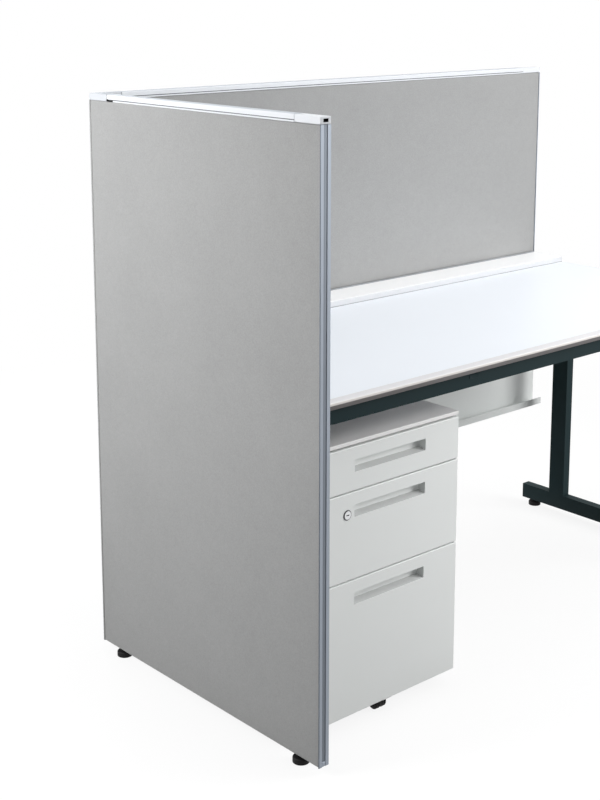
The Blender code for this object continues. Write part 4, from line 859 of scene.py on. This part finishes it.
finishPiece(cheek, "file_drawer", "black_plastic")
print("flap seal and wheel cheeks in place")


# screw and bolt heads: a domed rim with a socket sunk in the middle
screwHead = {"sides": 24, "dome": 0.55, "domeSteps": 3, "wall": 0.28, "socket": 0.5}


def makeHead(name, seat, way, screw):
    radius, height = screw["radius"], screw["height"]
    piece = startRound(name, Vector(seat) + way * height / 2, way, radius, height, screwHead["sides"])
    roundRim(piece, way, height * screwHead["dome"], screwHead["domeSteps"])
    stepFace(piece, way, radius * screwHead["wall"], -height * screwHead["socket"])
    return piece


# screws at even steps, the same inset from both ends of the run
def makeScrewRow(name, seat, way, screw, along, length):
    step = (length - 2 * screw["inset"]) / (screw["count"] - 1)
    screws = makeHead(name, Vector(seat) + along * screw["inset"], way, screw)
    repeatPiece(screws, [along * step * index for index in range(1, screw["count"])])
    finishPiece(screws, "desk", "zinc_steel")


legBolt = {"radius": 0.0065, "height": 0.0030, "spread": 0.016}
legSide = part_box("right_leg")[1].x
beamLow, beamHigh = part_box("front_beam")
rearLow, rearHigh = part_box("rear_beam")
beamZ, frontY = (beamLow.z + beamHigh.z) / 2, (beamLow.y + beamHigh.y) / 2
back = (rearLow.y + rearHigh.y) / 2 - frontY
bolts = makeHead("legBolts", (legSide, frontY, beamZ - legBolt["spread"] / 2), xAxis, legBolt)
repeatPiece(bolts, [(0, 0, legBolt["spread"]), (0, back, 0), (0, back, legBolt["spread"])])
finishPiece(bolts, "desk", "zinc_steel")

angleScrew = {"radius": 0.0045, "height": 0.0022, "count": 4, "inset": 0.045}
low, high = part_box("end_panel_support_angle")
makeScrewRow("angleScrews", ((low.x + high.x) / 2, low.y, low.z), -zAxis, angleScrew, yAxis, high.y - low.y)

flangeScrew = {"radius": 0.0040, "height": 0.0020, "count": 6, "inset": 0.08, "drop": 0.0015,
               "setback": 0.0115}
low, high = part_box("modesty_panel")
makeScrewRow("flangeScrews", (low.x, high.y - flangeScrew["setback"], high.z - flangeScrew["drop"]), -zAxis,
             flangeScrew, xAxis, high.x - low.x)

frontScrew = {"radius": 0.0038, "height": 0.0018, "wall": 0.0015, "spread": 0.11, "low": 0.25, "high": 0.75}
for drawer in drawers:
    low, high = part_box(drawer + "_drawer_tray")
    tall = high.z - low.z
    seat = ((low.x + high.x) / 2 - frontScrew["spread"] / 2, low.y + frontScrew["wall"],
            low.z + tall * frontScrew["low"])
    screws = makeHead(drawer + "FrontScrews", seat, yAxis, frontScrew)
    rise = tall * (frontScrew["high"] - frontScrew["low"])
    repeatPiece(screws, [(frontScrew["spread"], 0, 0), (0, 0, rise), (frontScrew["spread"], 0, rise)])
    finishPiece(screws, drawer + "_drawer", "zinc_steel")
print("screws and bolts set")


# black frames pressed into the cable slots of the duct
slotFrame = {"flange": 0.004, "overlap": 0.0008, "top": 0.0014, "wall": 0.0013, "rim": 0.0004, "rimSteps": 2,
             "length": 0.120, "width": 0.034, "margin": 0.012, "spacing": 0.700, "floor": 0.0015}
low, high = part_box("wiring_duct")
slotX = (low.x + high.x) / 2 - slotFrame["spacing"] / 2
slotY = low.y + slotFrame["margin"] + slotFrame["width"] / 2
slotZ = low.z + slotFrame["floor"] + slotFrame["top"]
clearBench()
bpy.ops.mesh.primitive_plane_add(size=1, location=(slotX, slotY, slotZ))
trim = settle("cableSlotFrames", (slotFrame["length"] + 2 * slotFrame["flange"],
                                  slotFrame["width"] + 2 * slotFrame["flange"], 1))
openFrame(trim, slotFrame["flange"] + slotFrame["overlap"], slotFrame["wall"], -1, slotFrame["rim"],
          slotFrame["rimSteps"])
repeatPiece(trim, [(slotFrame["spacing"], 0, 0)])
finishPiece(trim, "desk", "black_plastic")


# plugs in the open ends of the leg's floor bar
barPlug = {"thickness": 0.0025, "rim": 0.0012, "steps": 3, "height": 0.040}
low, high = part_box("right_leg")
plugs = []
for name, way, nearY in (("legBarPlugs", -yAxis, low.y - barPlug["thickness"]), ("rearPlug", yAxis, high.y)):
    plug = startBlock(name, (low.x, nearY, low.z),
                      (high.x, nearY + barPlug["thickness"], low.z + barPlug["height"]))
    roundRim(plug, way, barPlug["rim"], barPlug["steps"])
    plugs.append(plug)
joinPieces(plugs)
finishPiece(plugs[0], "desk", "black_plastic")


# levelling feet: moulded pad, collar and stem in place of the plain turned ones
levelFoot = {"radius": 0.017, "height": 0.012, "round": 0.003, "sole": 0.001, "roundSteps": 5,
             "collar": 0.0056, "collarHeight": 0.0046, "stem": 0.0038, "stemHeight": 0.022}


def makeLevelFoot(name, node):
    low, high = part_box(node)
    centre = ((low.x + high.x) / 2, (low.y + high.y) / 2, levelFoot["height"] / 2)
    foot = startRound(name, centre, zAxis, levelFoot["radius"], levelFoot["height"])
    roundRim(foot, zAxis, levelFoot["round"], levelFoot["roundSteps"])
    roundRim(foot, -zAxis, levelFoot["sole"], levelFoot["roundSteps"])
    flat = levelFoot["radius"] - levelFoot["round"]
    for shrink, rise in ((flat - levelFoot["collar"], levelFoot["collarHeight"]),
                         (levelFoot["collar"] - levelFoot["stem"], levelFoot["stemHeight"])):
        pickFaces(foot, outerFace(foot, zAxis))
        bpy.ops.mesh.inset(thickness=shrink)
        bpy.ops.mesh.inset(thickness=0, depth=rise)
        bpy.ops.object.mode_set(mode="OBJECT")
    finishPiece(foot, node, "black_plastic")
    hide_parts(node)


for name, node in (("panelFrontFoot", "end_panel_front_foot"), ("panelRearFoot", "end_panel_rear_foot"),
                   ("legFrontFoot", "right_leg_front_foot"), ("legRearFoot", "right_leg_rear_foot")):
    makeLevelFoot(name, node)


# wheels: rounded tyre with a dished hub and a groove round the tread
tyre = {"sides": 56, "round": 0.004, "roundSteps": 5, "hub": 0.40, "lip": 0.0006, "dish": 0.0010,
        "groove": 0.0012, "shoulder": 0.42}


def makeTyre(name, node):
    low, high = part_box(node)
    middle = (low + high) / 2
    radius, width = (high.z - low.z) / 2, high.x - low.x
    wheel = startRound(name, middle, xAxis, radius, width, tyre["sides"])
    for way in (xAxis, -xAxis):
        roundRim(wheel, way, tyre["round"], tyre["roundSteps"])
        pickFaces(wheel, outerFace(wheel, way))
        bpy.ops.mesh.inset(thickness=(radius - tyre["round"]) * tyre["hub"])
        bpy.ops.mesh.inset(thickness=tyre["lip"])
        bpy.ops.transform.translate(value=-way * tyre["dish"])
        bpy.ops.object.mode_set(mode="OBJECT")
    pickFaces(wheel, lambda face: abs(face.normal.x) < level and abs(face.center.x - middle.x) < hair)
    bpy.ops.mesh.inset(thickness=(width - 2 * tyre["round"]) * tyre["shoulder"], use_even_offset=True)
    shrink = 1 - tyre["groove"] / radius
    bpy.ops.transform.resize(value=(1, shrink, shrink), center_override=middle)
    bpy.ops.object.mode_set(mode="OBJECT")
    finishPiece(wheel, node, "black_plastic")
    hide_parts(node)


for corner in ("front_left", "front_right", "rear_left", "rear_right"):
    makeTyre("caster" + corner.title().replace("_", "") + "Tyre", f"caster_{corner}_wheel")
makeTyre("tipTyre", "anti_tip_wheel")
print("feet and wheels shaped")


# studio: pale floor that is white to the camera and keeps a soft shadow
studio = {"floorSize": 60.0, "floorDrop": 0.0004, "bounce": (0.17, 0.17, 0.17, 1),
          "pale": (0.92, 0.92, 0.92, 1), "nearWhite": 0.86, "nearReach": 1.0, "farReach": 2.6,
          "worldLight": 0.28, "worldColour": (0.98, 0.99, 1.0, 1), "white": (1, 1, 1, 1)}


def seenDirectly(tree):
    path = put(tree, "LightPath").outputs
    mirrored = sums(tree, "MAXIMUM", path["Is Camera Ray"], path["Is Glossy Ray"])
    return sums(tree, "MAXIMUM", mirrored, path["Is Transmission Ray"])


clearBench()
bpy.ops.mesh.primitive_plane_add(size=studio["floorSize"], location=(0, 0, -studio["floorDrop"]))
floor = bpy.context.object
floor.name = "studioFloor"
floorLook = bpy.data.materials.new("paleFloor")
floorLook.use_nodes = True
tree = floorLook.node_tree
tree.nodes.remove(tree.nodes["Principled BSDF"])
seen = seenDirectly(tree)
matt = put(tree, "BsdfDiffuse", {"Color": mixColour(tree, seen, studio["bounce"], studio["pale"])})
glow = put(tree, "Emission", {"Color": studio["white"], "Strength": 1.0})
away = put(tree, "VectorMath", {0: put(tree, "TexCoord").outputs["Object"]}, operation="LENGTH")
clean = remap(tree, away.outputs["Value"], studio["nearReach"], studio["farReach"], studio["nearWhite"], 1.0)
share = sums(tree, "MULTIPLY", seen, clean)
both = put(tree, "MixShader", {0: share, 1: matt.outputs[0], 2: glow.outputs[0]})
tree.links.new(both.outputs[0], tree.nodes["Material Output"].inputs["Surface"])
floor.data.materials.append(floorLook)

world = bpy.context.scene.world or bpy.data.worlds.new("studioWorld")
bpy.context.scene.world = world
world.use_nodes = True
tree = world.node_tree
tree.nodes.clear()
dim = put(tree, "Background", {"Color": studio["worldColour"], "Strength": studio["worldLight"]})
bright = put(tree, "Background", {"Color": studio["white"], "Strength": 1.0})
both = put(tree, "MixShader", {0: seenDirectly(tree), 1: dim.outputs[0], 2: bright.outputs[0]})
tree.links.new(both.outputs[0], put(tree, "OutputWorld").inputs["Surface"])

lamps = {
    "windowLamp": {"place": (-2.35, 0.70, 1.50), "aim": (-0.7, 0.15, 0.95), "size": 1.3, "power": 48.0},
    "ceilingLamp": {"place": (0.3, -0.4, 3.6), "aim": (0.1, 0.0, 0.7), "size": 2.6, "power": 45.0},
    "roomLamp": {"place": (0.4, -2.3, 3.0), "aim": (0.0, 0.1, 0.8), "size": 2.2, "power": 20.0},
    "lowLamp": {"place": (1.6, -1.85, 1.45), "aim": (-0.3, -0.1, 0.80), "size": 1.4, "power": 53.0},
    "backLamp": {"place": (0.3, 2.8, 1.2), "aim": (0.0, 0.36, 0.70), "size": 1.6, "power": 30.0},
}
for name, lamp in lamps.items():
    clearBench()
    bpy.ops.object.light_add(type="AREA", location=lamp["place"])
    light = bpy.context.object
    light.name = name
    light.data.shape = "DISK"
    light.data.size = lamp["size"]
    light.data.energy = lamp["power"]
    light.rotation_euler = (Vector(lamp["aim"]) - Vector(lamp["place"])).to_track_quat("-Z", "Y").to_euler()

photoView = {"place": (-2.3895, -2.1945, 1.4778), "yaw": 41.429, "pitch": -10.818, "lens": 64.37,
             "sensor": 36.0, "shiftY": -0.18}
turn = (math.radians(90 + photoView["pitch"]), 0, -math.radians(photoView["yaw"]))
clearBench()
bpy.ops.object.camera_add(location=photoView["place"], rotation=turn)
camera = bpy.context.object
camera.name = "photoCamera"
camera.data.sensor_width = photoView["sensor"]
camera.data.lens = photoView["lens"]
camera.data.shift_y = photoView["shiftY"]
bpy.context.scene.camera = camera
bpy.context.scene.view_settings.view_transform = "Standard"
print("studio and camera set")
